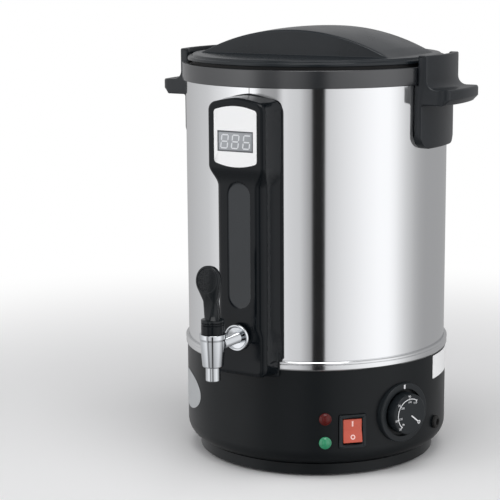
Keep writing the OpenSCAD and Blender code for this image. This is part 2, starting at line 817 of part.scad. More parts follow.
// Solid through a stack of outlines with equal numbers of points, each given as [distance, outline]
module loft(stack) {
    n = len(stack[0][1]);
    k = len(stack);
    points = [for (s = stack, p = s[1]) [p.x, -s[0], p.y]];
    walls = [for (i = [0:k - 2], j = [0:n - 1])
        let (a = i * n)
        let (m = (j + 1) % n)
        each [[a + j, a + n + j, a + n + m], [a + j, a + n + m, a + m]]];
    caps = [[for (j = [0:n - 1]) j], [for (j = [n - 1:-1:0]) (k - 1) * n + j]];
    polyhedron(points = points, faces = concat(walls, caps), convexity = 4);
}

// Block from the jacket out to d with a rounded rim, w0 half wide at its foot and w1 at its face
module swell(w0, w1, z0, z1, d) {
    e = column_edge;
    rim = [for (a = [0:22.5:90]) let (t = e * (1 - cos(a)))
        [d - e + e * sin(a), head_outline(w1 + e * 0.3 - t, z0 + 0.5 + t, z1 - 1 - t)]];
    loft(concat([[jacket_r - 8, head_outline(w0, z0, z1)]], rim));
}

module column_cavity() {
    w = column_wall;
    d0 = jacket_r - 8;
    outward(d0, 0) linear_extrude(head_d - w - d0) {
        polygon(head_outline(head_half - w - 1.5, head_low + w + 4, head_top - w - 3));
    }
    outward(d0, 0) linear_extrude(face_d - w - 0.6 - d0) {
        polygon(head_outline(waist_half - w, column_z + boss_h - 10, head_low + 20));
    }
    outward(d0, 0) linear_extrude(tapboss_d - w - 0.6 - d0) {
        polygon(head_outline(waist_half - w + 1, column_z + w + 1, column_z + boss_h - 4));
    }
}

module column_cover() {
    color("#141517") difference() {
        union() {
            difference() {
                union() {
                    intersection() {
                        union() {
                            translate([0, 0, band_top - 1]) ring(jacket_r + 1.8, jacket_r - 3, head_top);
                            // Step of the flange over the band
                            translate([0, 0, column_z - 1]) {
                                ring(jacket_r + band_out + 1.7, jacket_r - 3, column_drop + band_h + 4);
                            }
                        }
                        outward(jacket_r - 20, 0) linear_extrude(60) polygon(flange_outline());
                    }
                    swell(head_half + 3.2, head_half, head_low, head_top, head_d);
                    swell(waist_half + 5.5, waist_half, column_z + 4, head_top - 12, face_d);
                    swell(head_half + 3, waist_half + 2.5, column_z + 1, column_z + boss_h, tapboss_d);
                }
                column_cavity();
            }
            // Screw posts behind the waist
            for (z = column_screw_z) {
                outward(jacket_r + 0.5, z) cylinder(r = 4.5, h = waist_out - column_wall);
            }
        }
        // Back follows the jacket, the band and the base
        cylinder(r = jacket_r + seat_gap, h = head_top + 50);
        translate([0, 0, base_top - 0.2]) cylinder(r = jacket_r + band_out + seat_gap, h = band_h + 0.4);
        translate([0, 0, column_z - 1]) cylinder(r = base_r + seat_gap, h = column_drop + 1);
        for (z = column_screw_z) outward(jacket_r - 2, z) cylinder(r = screw_r * 0.96, h = 12);
        outward(face_d - groove_depth, 0) linear_extrude(10) {
            for (z = [groove_z0, groove_z1]) translate([0, z]) circle(r = groove_half);
            translate([-groove_half, groove_z0]) square([2 * groove_half, groove_z1 - groove_z0]);
        }
        outward(head_d - label_t, 0) linear_extrude(10) polygon(label_outline(seat_gap));
        outward(head_d - 10, window_z) linear_extrude(20) polygon(plate(window_w + 2, window_h + 2, 0.5));
        outward(jacket_r - 5, tap_z) cylinder(r = thread_r + 0.3, h = 60);
    }
}

groove_z0 = column_z + boss_h + 18.5 + groove_half;
groove_z1 = head_low + 1.5 - groove_half;
window_z = label_mid + window_up;

// Outline of the label, grown by g
function label_outline(g = 0) =
    let (h = label_h / 2 - 4 + g)
    let (w = label_half + g)
    rounded([[-w, label_mid - h], [0, label_mid - h - 6], [w, label_mid - h], [w, label_mid + h],
            [0, label_mid + h + 6], [-w, label_mid + h]], [3, 60, 3, 3, 60, 3], 8);

module display_label() {
    color("#eef0f1") difference() {
        outward(head_d - label_t, 0) linear_extrude(label_t + 0.15) polygon(label_outline());
        outward(head_d - 5, window_z) linear_extrude(10) polygon(plate(window_w, window_h, 0.6));
    }
}

module display_window() {
    color("#a9acb0") outward(head_d - label_t, window_z) linear_extrude(label_t) {
        polygon(plate(window_w - 0.3, window_h - 0.3, 0.5));
    }
}

module display_module() {
    lens_d = head_d - label_t;
    board_d = head_d - column_wall - 3;
    color("#2f5d3a") {
        outward(board_d, window_z) linear_extrude(1.6) polygon(plate(window_w + 8, window_h + 16, 1));
        outward(board_d + 1.6, window_z) linear_extrude(lens_d - board_d - 1.6) {
            polygon(plate(window_w - 1, window_h - 1, 0.3));
        }
    }
    // Posts that hold the board against the face
    color("#2f5d3a") for (x = [-16, 16], z = [-1, 1] * (window_h / 2 + 5)) {
        outward(board_d + 1.6, window_z + z) translate([x, 0, 0]) {
            cylinder(r = 1.5, h = head_d - column_wall - board_d - 1.6);
        }
    }
}

module column_screws() {
    color("#9fa2a5") for (z = column_screw_z) {
        outward(jacket_in - 0.3, z) pan_screw(11, screw_r * 0.95);
    }
}

probe_r = 4;

module temperature_probe() {
    color("#bfc2c4") outward(tank_r - 12, probe_z) {
        cylinder(r = probe_r - 1, h = 12);
        translate([0, 0, 3]) cylinder(r = probe_r, h = 17);
    }
}

module probe_nut() {
    color("#9fa2a5") {
        outward(tank_out + 0.2, probe_z) hex_nut(11, 4, probe_r + run_fit);
        outward(tank_r - 4.4, probe_z) hex_nut(11, 4, probe_r + run_fit);
    }
}

// ---- Tap ----

tap_d = jacket_r + tap_out;
tap_top = tap_z + tap_rise;
tap_low = tap_z - tap_fall;
bonnet_top = tap_top + bonnet_h;
well_r = tap_r - 3.3;
tap_foot_r = tap_r - 2.6;
valve_z = tap_low + 4;
seat_top = valve_z + 5;
stem_r = 2.2;
pin_r = 1;
spigot_h = 4;
washer_t = 2.5;
washer_r = thread_r + 2.5;
gasket_face = sqrt(tank_r ^ 2 - washer_r ^ 2) - seat_gap;

// Moves its children to the axis of the tap body at height z
module at_tap(z) translate([0, -tap_d, z]) children();

module tap_shank() {
    start = tank_r - 13;
    step = tapboss_d - 0.5;
    color("#d2d4d6") outward(0, tap_z) difference() {
        union() {
            translate([0, 0, start]) cylinder(r = thread_r, h = step - start);
            translate([0, 0, start]) cylinder(r = shank_r, h = tap_d - well_r - 0.8 - start);
        }
        translate([0, 0, start - 1]) cylinder(r = shank_bore_r, h = tap_d);
    }
}

module tap_escutcheon() {
    in_r = shank_r + run_fit;
    color("#e2e4e6") outward(tapboss_d, tap_z) rotate_extrude() {
        polygon(rounded([[in_r, 0], [escutcheon_r, 0], [escutcheon_r, 1.6], [escutcheon_r - 3.5, 4.4],
                [in_r, 4.8]], [0, 0, 1, 2, 0.6], 5));
    }
}

module tap_spacer() {
    r = washer_r;
    start = tank_out + seat_gap + washer_t + run_fit;
    end = sqrt(jacket_in ^ 2 - r ^ 2) - seat_gap / 2;
    color("#b7babc") outward(start, tap_z) ring(r, thread_r + 0.3, end - start);
}

module tap_gaskets() {
    color("#a84b32") {
        outward(tank_out + seat_gap, tap_z) ring(washer_r, thread_r + 0.3, washer_t);
        outward(gasket_face - washer_t, tap_z) ring(washer_r, thread_r + 0.3, washer_t);
    }
}

module tap_nut() {
    face = gasket_face - washer_t - run_fit;
    color("#b9bcbe") outward(face - 5, tap_z) hex_nut(2 * thread_r + 6, 5, thread_r + run_fit);
}

module tap_body() {
    low = tap_low - nozzle_h;
    color("#cfd1d3") difference() {
        union() {
            at_tap(0) rotate_extrude() {
                polygon(rounded([[0, low], [nozzle_r, low], [nozzle_r, tap_low], [tap_foot_r, tap_low],
                        [tap_r - 0.7, tap_z + 3], [tap_r, tap_z + 5], [tap_r, tap_top], [0, tap_top]],
                    [0, 1, 0.3, 1.2, 1, 0.5, 0.6, 0], 4));
            }
            outward(tap_d - tap_r - 1, tap_z) cylinder(r = shank_r + 1.2, h = tap_r - 3);
        }
        at_tap(low - 1) cylinder(r = nozzle_bore_r, h = nozzle_h + tap_fall);
        at_tap(valve_z) cylinder(r = well_r, h = tap_top);
        outward(tap_d - tap_r - 3, tap_z) cylinder(r = shank_r + run_fit, h = tap_r - well_r + 2.2);
        outward(tap_d - tap_r - 3, tap_z) cylinder(r = shank_bore_r, h = tap_r);
    }
}

module tap_bonnet() {
    r = tap_r - 1.6;
    color("#141516") at_tap(tap_top) difference() {
        rotate_extrude() {
            polygon(rounded([[0, -spigot_h], [well_r - run_fit, -spigot_h], [well_r - run_fit, 0], [r, 0],
                    [r, bonnet_h - 2.4], [r - 0.8, bonnet_h - 2], [r, bonnet_h - 1.4], [r, bonnet_h],
                    [0, bonnet_h]], [0, 0.4, 0, 0.4, 0.2, 0.2, 0.2, 0.4, 0], 3));
        }
        translate([0, 0, -spigot_h - 1]) cylinder(r = stem_r + run_fit, h = bonnet_h + spigot_h + 2);
    }
}

pin_up = 3.6;
pin_half = 3.2;

module tap_stem() {
    color("#b9bcbe") at_tap(0) difference() {
        translate([0, 0, seat_top]) cylinder(r = stem_r, h = bonnet_top + pin_up + 2 - seat_top);
        translate([0, 0, bonnet_top + pin_up]) rotate([0, 90, 0]) {
            cylinder(r = pin_r + run_fit, h = 10, center = true);
        }
    }
}

module tap_seat() {
    r = well_r - 1;
    h = seat_top - valve_z - run_fit;
    color("#d9dcd8") at_tap(valve_z + run_fit) rotate_extrude() {
        polygon([[0, 0], [nozzle_bore_r + 0.5, 0], [r, 1.5], [r, h], [0, h]]);
    }
}

module tap_pin() {
    color("#9fa2a5") at_tap(bonnet_top + pin_up) rotate([0, 90, 0]) {
        cylinder(r = pin_r, h = 2 * pin_half, center = true);
    }
}

module tap_spring() {
    turns = 6;
    steps = 12;
    coil_r = 4.6;
    gauge = 0.5;
    low = seat_top + gauge + 0.05;
    high = tap_top - spigot_h - gauge - 0.05;
    k = turns * steps;
    color("#a9acae") at_tap(0) {
        wire([for (i = [0:k]) [coil_r * cos(360 * i / steps), coil_r * sin(360 * i / steps),
                low + (high - low) * i / k]], gauge);
    }
}

heel_r = 0.85;

module tap_lever() {
    flange_r = tap_r - 1.6;
    base = bonnet_top + 0.15;
    neck = [paddle_r * 1.15, 8];
    mid_z = paddle_up * 0.5;
    color("#151617") difference() {
        union() {
            at_tap(base) rotate_extrude() {
                polygon(rounded([[0, 0], [flange_r, 0], [flange_r, 2.4], [0, 2.4]], [0, 0.5, 0.8, 0], 3));
            }
            // Round heel on which the lever rocks
            at_tap(base + 0.8) translate([0, 0.7 - flange_r, 0]) rotate([0, 90, 0]) {
                cylinder(r = heel_r, h = 7, center = true);
            }
            hull() {
                at_tap(base + 2) cylinder(r = 6.8, h = 0.5, $fn = 40);
                at_tap(base + mid_z) translate([0, -paddle_lean * 0.35, 0]) {
                    linear_extrude(0.5) polygon(plate(neck.x, neck.y, 2.5));
                }
            }
            hull() {
                at_tap(base + mid_z) translate([0, -paddle_lean * 0.35, 0]) {
                    linear_extrude(0.5) polygon(plate(neck.x, neck.y, 2.5));
                }
                at_tap(bonnet_top + paddle_up) translate([0, -paddle_lean, 0]) {
                    rotate([82, 0, 0]) scale([1, 1.1, 1]) {
                        cylinder(r = paddle_r, h = paddle_t - 1.6, center = true, $fn = 40);
                        cylinder(r = paddle_r - 1, h = paddle_t, center = true, $fn = 40);
                    }
                }
            }
        }
        // Notch for the stem, open to the rear
        at_tap(base) {
            translate([-stem_r - 0.4, -stem_r - 0.5, -1]) cube([2 * stem_r + 0.8, 20, 5.4]);
            translate([-stem_r - 0.4, -stem_r - 0.5, -1]) cube([2 * stem_r + 0.8, 7, 7.2]);
        }
        // Cam slot of the pin, seen from the side
        at_tap(base) rotate([90, 0, 90]) linear_extrude(2 * pin_half + 0.6, center = true) {
            polygon([[-1.4, 2.3], [0.2, 2.3], [1.4, 1.9], [3.5, 0.6], [4.8, 0.6], [4.8, 4.9], [-1.4, 4.9]]);
        }
    }
}

// ---- Side handles ----

module side_handle(az) {
    r_in = collar_r + 0.3;
    r_up = r_in + handle_wall;
    r_back = jacket_r + seat_gap;
    r_tip = jacket_r + grip_out;
    r_low = jacket_r + bracket_wall;
    top = collar_top + handle_up;
    grip_top = collar_z - grip_drop;
    grip_low = grip_top - grip_h;
    low = grip_low - bracket_drop;
    w = handle_half;
    mid = jacket_r * 2 / 3;
    bevel = 5.5;
    color("#26292b") facing(az) difference() {
        intersection() {
            rotate_extrude() {
                polygon(rounded([[r_back, low], [r_low, low], [r_low, grip_low], [r_tip - bevel, grip_low],
                        [r_tip, grip_low + bevel], [r_tip, grip_top], [r_up, grip_top], [r_up, top],
                        [r_in, top], [r_in, collar_z - 0.4], [r_back, collar_z - 0.4]],
                    [0, 1.5, 1.5, 2, 1.5, 2.5, grip_blend, 1, 0.8, 0, 0], 5));
            }
            translate([0, 0, low - 1]) linear_extrude(top - low + 2) {
                polygon(rounded([[-w, -r_tip - 1], [w, -r_tip - 1], [w, -mid], [-w, -mid]],
                    [14, 14, 0, 0], 8));
            }
            outward(mid, 0) linear_extrude(r_tip) {
                polygon(rounded([[-w, low], [w, low], [w, top], [-w, top]], [14, 14, 1.5, 1.5], 8));
            }
        }
        // Pocket for the lug of the lid
        intersection() {
            translate([0, 0, collar_top + 1]) ring(r_in + handle_wall / 2, r_in - 2, handle_up + 1);
            translate([-w + 7, -r_up - 1, collar_top]) cube([2 * w - 14, 40, handle_up + 5]);
        }
        for (z = handle_z) outward(jacket_r - 1, z) cylinder(r = screw_r * 0.96, h = bracket_wall);
    }
}

module left_handle() side_handle(-90);

module right_handle() side_handle(90);

module handle_screws() {
    color("#9fa2a5") for (a = [-90, 90], z = handle_z) facing(a) {
        outward(jacket_in - 0.3, z) pan_screw(bracket_wall - 0.6, screw_r * 0.95);
    }
}

// ---- Lid ----

arch_reach = lid_r - arch_inset;
arch_r = (arch_reach ^ 2 + arch_rise ^ 2) / (2 * arch_rise);
arch_z = shelf_z + arch_rise - arch_r;
skirt_r = tank_r - skirt_gap;
liner_z = lid_z - 4;
lid_screw_circle = skirt_r - lid_wall - 8;

// Solid of the arch shrunk by t, above height z0
module arch_solid(t, z0) {
    r = arch_r - t;
    half = arch_half - t;
    steps = 12;
    intersection() {
        translate([0, 0, arch_z]) rotate([90, 0, 0]) rotate_extrude($fn = 240) {
            polygon(concat([[r - 50, -half]],
                [for (i = [-steps:steps]) [r + arch_crown * (1 - (i / steps) ^ 2), half * i / steps]],
                [[r - 50, half]]));
        }
        translate([-arch_reach - 6, -half - 1, z0]) cube([2 * arch_reach + 12, 2 * half + 2, 60]);
    }
}

module lid_shell() {
    step_r = lid_r - lid_edge_w;
    color("#26292c") difference() {
        union() {
            rotate_extrude() {
                polygon(rounded([[0, lid_z], [lid_r, lid_z], [lid_r, edge_top], [step_r + 0.6, edge_top],
                        [step_r, shelf_z], [0, shelf_z]], [0, 0.8, 1.2, 0.3, 0.8, 0], 4));
            }
            arch_solid(0, lid_z + 1);
            translate([0, 0, lid_z - skirt_h]) ring(skirt_r, skirt_r - lid_wall, skirt_h + 1);
            // Screw posts
            for (a = [45:90:315]) rotate([0, 0, a]) {
                translate([lid_screw_circle, 0, liner_z + 1.2]) cylinder(r = 5, h = lid_z - liner_z);
            }
            // Lugs that sit in the pockets of the side handles
            for (a = [-90, 90]) facing(a) intersection() {
                translate([0, 0, lid_z]) ring(lid_r + lug_out, lid_r - 3, lid_edge + 0.5);
                translate([-lug_half_w, -lid_r - lug_out - 1, lid_z]) cube([2 * lug_half_w, 60, 20]);
            }
        }
        difference() {
            union() {
                translate([0, 0, lid_z - 1]) {
                    cylinder(r = skirt_r - lid_wall, h = shelf_z - lid_wall - lid_z + 1);
                }
                arch_solid(lid_wall, shelf_z - lid_wall - 1);
            }
            for (a = [45:90:315]) rotate([0, 0, a]) {
                translate([lid_screw_circle, 0, liner_z + 1.2]) cylinder(r = 5, h = 20);
            }
        }
        for (a = [45:90:315]) rotate([0, 0, a]) {
            translate([lid_screw_circle, 0, liner_z]) cylinder(r = screw_r * 0.96, h = 7.5);
        }
    }
}

module lid_liner() {
    color("#c4c7c9") translate([0, 0, liner_z]) difference() {
        cylinder(r = skirt_r - lid_wall - seat_gap, h = 1.2);
        for (a = [45:90:315]) rotate([0, 0, a]) {
            translate([lid_screw_circle, 0, -1]) cylinder(r = screw_r + screw_gap, h = 4);
        }
    }
}

module lid_gasket() {
    low = rim_z + run_fit;
    color("#2b2d2f") translate([0, 0, low]) ring(tank_r + 6, tank_r + 0.6, lid_z - low);
}

module lid_screws() {
    color("#9fa2a5") for (a = [45:90:315]) rotate([0, 0, a]) {
        translate([lid_screw_circle, 0, liner_z]) pan_screw(6.5, screw_r * 0.95);
    }
}

// ---- Labels ----

sticker_t = 0.2;
sticker_az = 103.8;
sticker_w = 60;
sticker_h = 21.5;
badge_az = -47.6;
badge_half_w = 33;
badge_half_h = 17.6;
badge_z = 59.3;

// Thin label on the side of the base, cut by an outline seen from outside
module base_label(az, z) {
    facing(az) intersection() {
        translate([0, 0, z - 30]) ring(base_r + run_fit + sticker_t, base_r + run_fit, 60);
        outward(base_r / 2, z) linear_extrude(base_r) children();
    }
}

module rating_sticker() {
    z = base_top - 1.5 - sticker_h / 2;
    color("#eeeeec") base_label(sticker_az, z) polygon(plate(sticker_w, sticker_h, 1));
}

module round_badge() {
    color("#b5b8ba") base_label(badge_az, badge_z) {
        polygon([for (a = [0:7.5:352.5]) [badge_half_w * cos(a), badge_half_h * sin(a)]]);
    }
}

base_housing();
bottom_cover();
rubber_feet();
bottom_screws();
base_band();
jacket();
collar();
inner_tank();
tank_bottom();
heat_plate();
heating_element();
heat_shield();
centre_stud();
centre_nut();
thermal_cutout();
thermostat_body();
thermostat_screws();
thermostat_shaft();
capillary_bulb();
dial_bezel();
dial_knob();
switch_frame();
switch_rocker();
switch_tabs();
red_lamp();
green_lamp();
lamp_nuts();
cord_gland();
gland_nut();
terminal_block();
internal_wiring();
column_cover();
column_screws();
display_label();
display_window();
display_module();
temperature_probe();
probe_nut();
tap_shank();
tap_escutcheon();
tap_spacer();
tap_gaskets();
tap_nut();
tap_body();
tap_bonnet();
tap_stem();
tap_seat();
tap_pin();
tap_spring();
tap_lever();
left_handle();
right_handle();
handle_screws();
lid_shell();
lid_liner();
lid_gasket();
lid_screws();
rating_sticker();
round_badge();
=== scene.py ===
import math
import bmesh
import bpy
from mathutils import Matrix, Vector


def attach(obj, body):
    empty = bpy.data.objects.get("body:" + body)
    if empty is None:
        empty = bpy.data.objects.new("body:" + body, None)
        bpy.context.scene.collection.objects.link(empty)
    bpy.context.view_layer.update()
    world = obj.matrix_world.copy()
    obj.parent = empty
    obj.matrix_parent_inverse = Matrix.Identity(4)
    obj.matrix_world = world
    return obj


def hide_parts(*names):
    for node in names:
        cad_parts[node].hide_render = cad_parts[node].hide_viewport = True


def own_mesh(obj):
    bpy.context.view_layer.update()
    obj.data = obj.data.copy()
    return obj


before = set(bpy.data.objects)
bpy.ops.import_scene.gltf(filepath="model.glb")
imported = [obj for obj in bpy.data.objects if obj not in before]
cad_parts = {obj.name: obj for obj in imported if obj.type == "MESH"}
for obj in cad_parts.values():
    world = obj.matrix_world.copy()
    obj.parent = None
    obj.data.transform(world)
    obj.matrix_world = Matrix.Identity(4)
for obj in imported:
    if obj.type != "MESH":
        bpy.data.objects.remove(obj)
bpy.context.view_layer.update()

# Base: a black ABS bowl moulded with a fine spark texture, closed from below by a slotted cover on
# screws. It stands on four rubber feet. Sizes in this script are in mm, and MM turns them to metres.
MM = 0.001
BASE_R = 121.5
BASE_BEND = 16.0
FOOT_TOP = 11.5


def linear(code):
    """An sRGB hex colour as linear red, green, blue and alpha."""
    parts = [int(code[i:i + 2], 16) / 255 for i in (0, 2, 4)]
    return [c / 12.92 if c <= 0.04045 else ((c + 0.055) / 1.055) ** 2.4 for c in parts] + [1.0]


def put(tree, kind, sockets=None, **settings):
    """Adds one node; sockets maps an input to a value or to the output that feeds it."""
    node = tree.nodes.new(kind)
    for name, value in settings.items():
        setattr(node, name, value)
    for name, value in (sockets or {}).items():
        if isinstance(value, bpy.types.NodeSocket):
            tree.links.new(value, node.inputs[name])
        else:
            node.inputs[name].default_value = value
    return node


def blank(name):
    """A new material with an empty node tree."""
    material = bpy.data.materials.new(name)
    material.use_nodes = True
    material.node_tree.nodes.clear()
    return material, material.node_tree


def moulded(name, colour, shade, roughness, grain, depth, coat=0.0, gloss=0.5):
    """Moulded plastic or rubber: a die texture of that grain in mm, flow marks and handled patches.

    Flow marks are some 40 mm long. The real grain is some tenths of a millimetre, and it is drawn as
    coarse as it needs to show.
    """
    material, tree = blank(name)
    place = put(tree, "ShaderNodeTexCoord").outputs["Object"]
    flow = put(tree, "ShaderNodeTexNoise", {"Vector": place, "Scale": 26.0, "Detail": 3.0})
    tone = put(tree, "ShaderNodeMix", {"Factor": flow.outputs["Fac"], 6: linear(colour), 7: linear(shade)},
               data_type="RGBA")
    patch = put(tree, "ShaderNodeMapRange", {"Value": flow.outputs["Fac"], "From Min": 0.3, "From Max": 0.7,
                "To Min": roughness - 0.03, "To Max": roughness + 0.04})
    die = put(tree, "ShaderNodeTexNoise", {"Vector": place, "Scale": 1000 / grain, "Detail": 1.5})
    relief = put(tree, "ShaderNodeBump", {"Height": die.outputs["Fac"], "Strength": 0.5,
                 "Distance": depth * MM})
    shader = put(tree, "ShaderNodeBsdfPrincipled", {"Base Color": tone.outputs[2],
                 "Roughness": patch.outputs["Result"], "Normal": relief.outputs["Normal"],
                 "IOR": 1.52, "Specular IOR Level": gloss, "Coat Weight": coat,
                 "Coat Roughness": 0.06})
    put(tree, "ShaderNodeOutputMaterial", {"Surface": shader.outputs["BSDF"]})
    return material


def dress(material, *nodes):
    """Gives CAD nodes one material."""
    for node in nodes:
        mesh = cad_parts[node].data
        mesh.materials.clear()
        mesh.materials.append(material)


def finish_mesh(name, mesh, material, sharp=32):
    """Makes an object of a finished mesh, smooth except over edges sharper than that many degrees."""
    mesh.materials.clear()
    mesh.materials.append(material)
    mesh.polygons.foreach_set("use_smooth", [True] * len(mesh.polygons))
    mesh.set_sharp_from_angle(angle=math.radians(sharp))
    piece = bpy.data.objects.new(name, mesh)
    bpy.context.scene.collection.objects.link(piece)
    return piece


def refined(name, node, material, sharp=32):
    """A smooth-shaded copy of a CAD node, with its loose triangles merged, that stands for the node."""
    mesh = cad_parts[node].data.copy()
    shell = bmesh.new()
    shell.from_mesh(mesh)
    bmesh.ops.remove_doubles(shell, verts=shell.verts, dist=0.00001)
    shell.to_mesh(mesh)
    shell.free()
    piece = finish_mesh(name, mesh, material, sharp)
    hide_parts(node)
    return piece


def true_normals(piece, way):
    """Gives the faces that lie along a known surface its normals; way finds them at a point in mm."""
    mesh = piece.data
    normals = [Vector(corner.vector) for corner in mesh.corner_normals]
    for face in mesh.polygons:
        for loop in face.loop_indices:
            exact = way(mesh.vertices[mesh.loops[loop].vertex_index].co / MM)
            if exact is not None and exact.dot(face.normal) > 0.95:
                normals[loop] = exact
    mesh.normals_split_custom_set(normals)


def base_way(point):
    """Outward direction of the wall of the base and of its rounded lower edge."""
    bend_r = BASE_R - BASE_BEND
    bend_z = FOOT_TOP + BASE_BEND
    r = math.hypot(point.x, point.y)
    out = Vector((point.x / r, point.y / r, 0)) if r > 0 else Vector((0, 0, 1))
    if abs(r - BASE_R) < 0.15 and point.z > bend_z - 0.1:
        return out
    bend = Vector((r - bend_r, point.z - bend_z))
    if point.z < bend_z and r > bend_r and abs(bend.length - BASE_BEND) < 0.2:
        return (out * bend.x + Vector((0, 0, bend.y))).normalized()
    return None


# Spark-eroded dies leave an even grain, so the bowl is dark and takes only a soft sheen.
base_abs = moulded("black ABS, spark-textured", "101417", "0d1113", 0.36, 1.1, 0.04, gloss=0.19)
housing = refined("heater_base", "base_housing", base_abs)
true_normals(housing, base_way)
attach(housing, "melter")
dress(base_abs, "bottom_cover")
# Rubber is matt and shows almost no highlight.
foot_rubber = moulded("moulded black rubber", "141414", "1a1a1a", 0.75, 0.8, 0.08)
dress(foot_rubber, "rubber_feet")


def plated(name, colour, roughness, wear):
    """Plated, cast or drawn metal; its tool marks are drawn about 1 mm apart so that they show."""
    material, tree = blank(name)
    place = put(tree, "ShaderNodeTexCoord").outputs["Object"]
    marks = put(tree, "ShaderNodeTexNoise", {"Vector": place, "Scale": 900.0, "Detail": 2.0})
    patch = put(tree, "ShaderNodeMapRange", {"Value": marks.outputs["Fac"], "To Min": roughness,
                "To Max": roughness + wear})
    relief = put(tree, "ShaderNodeBump", {"Height": marks.outputs["Fac"], "Strength": 0.15,
                 "Distance": 0.02 * MM})
    shader = put(tree, "ShaderNodeBsdfPrincipled", {"Base Color": linear(colour), "Metallic": 1.0,
                 "Roughness": patch.outputs["Result"], "Normal": relief.outputs["Normal"]})
    put(tree, "ShaderNodeOutputMaterial", {"Surface": shader.outputs["BSDF"]})
    return material


# Zinc plate is a bright grey with a slightly uneven gloss.
zinc = plated("zinc-plated steel", "b9bcbf", 0.22, 0.2)
dress(zinc, "bottom_screws", "centre_stud", "centre_nut", "thermostat_screws", "column_screws",
      "probe_nut", "tap_nut", "handle_screws", "lid_screws")

# Steel band: a polished stainless ring that covers the joint of base and jacket. It is rolled with a
# bead along its upper edge.
BAND_LOW = 99.8
BAND_HIGH = 108.0
JACKET_R = 120.0
JACKET_LOW = 101.0
band_profile = [[119.5, BAND_LOW], [121.7, BAND_LOW], [122.7, 101.2], [122.7, 104.6], [122.3, 105.2],
                [122.9, 105.9], [122.9, 107.1], [122.2, BAND_HIGH], [JACKET_R + 0.1, BAND_HIGH],
                [JACKET_R + 0.1, JACKET_LOW], [119.5, JACKET_LOW]]
band_radii = [0, 0.5, 0.7, 0.3, 0, 0.3, 0.5, 0.5, 0, 0, 0]


def soften(points, radii, steps=5):
    """The outline with each corner rounded by its radius in mm."""
    result = []
    count = len(points)
    for i, corner in enumerate(points):
        p = Vector(corner)
        if radii[i] <= 0:
            result.append(list(p))
            continue
        to_last = (Vector(points[i - 1]) - p).normalized()
        to_next = (Vector(points[(i + 1) % count]) - p).normalized()
        half = math.acos(max(-1, min(1, to_last.dot(to_next)))) / 2
        centre = p + (to_last + to_next).normalized() * radii[i] / math.sin(half)
        start = p + to_last * radii[i] / math.tan(half) - centre
        end = p + to_next * radii[i] / math.tan(half) - centre
        turn = start.angle_signed(end)
        for k in range(steps + 1):
            a = -turn * k / steps
            result.append([centre.x + start.x * math.cos(a) - start.y * math.sin(a),
                           centre.y + start.x * math.sin(a) + start.y * math.cos(a)])
    return result


def turned(name, profile, material, origin=(0, 0, 0), axis=(0, 0, 1), count=256, sharp=32):
    """A closed outline of radius and height in mm, turned about an axis."""
    up = Vector(axis).normalized()
    side = up.cross(Vector((0, 1, 0)) if abs(up.y) < 0.9 else Vector((1, 0, 0))).normalized()
    front = up.cross(side)
    shell = bmesh.new()
    rings = []
    for k in range(count):
        a = 2 * math.pi * k / count
        out = side * math.cos(a) + front * math.sin(a)
        rings.append([shell.verts.new((Vector(origin) + out * r + up * h) * MM) for r, h in profile])
    for k in range(count):
        this, following = rings[k], rings[(k + 1) % count]
        for i in range(len(profile)):
            j = (i + 1) % len(profile)
            if profile[i][0] < 1e-6 and profile[j][0] < 1e-6:
                continue
            shell.faces.new((this[i], following[i], following[j], this[j]))
    bmesh.ops.remove_doubles(shell, verts=shell.verts, dist=0.000002)
    bmesh.ops.recalc_face_normals(shell, faces=shell.faces)
    mesh = bpy.data.meshes.new(name)
    shell.to_mesh(mesh)
    shell.free()
    return finish_mesh(name, mesh, material, sharp)


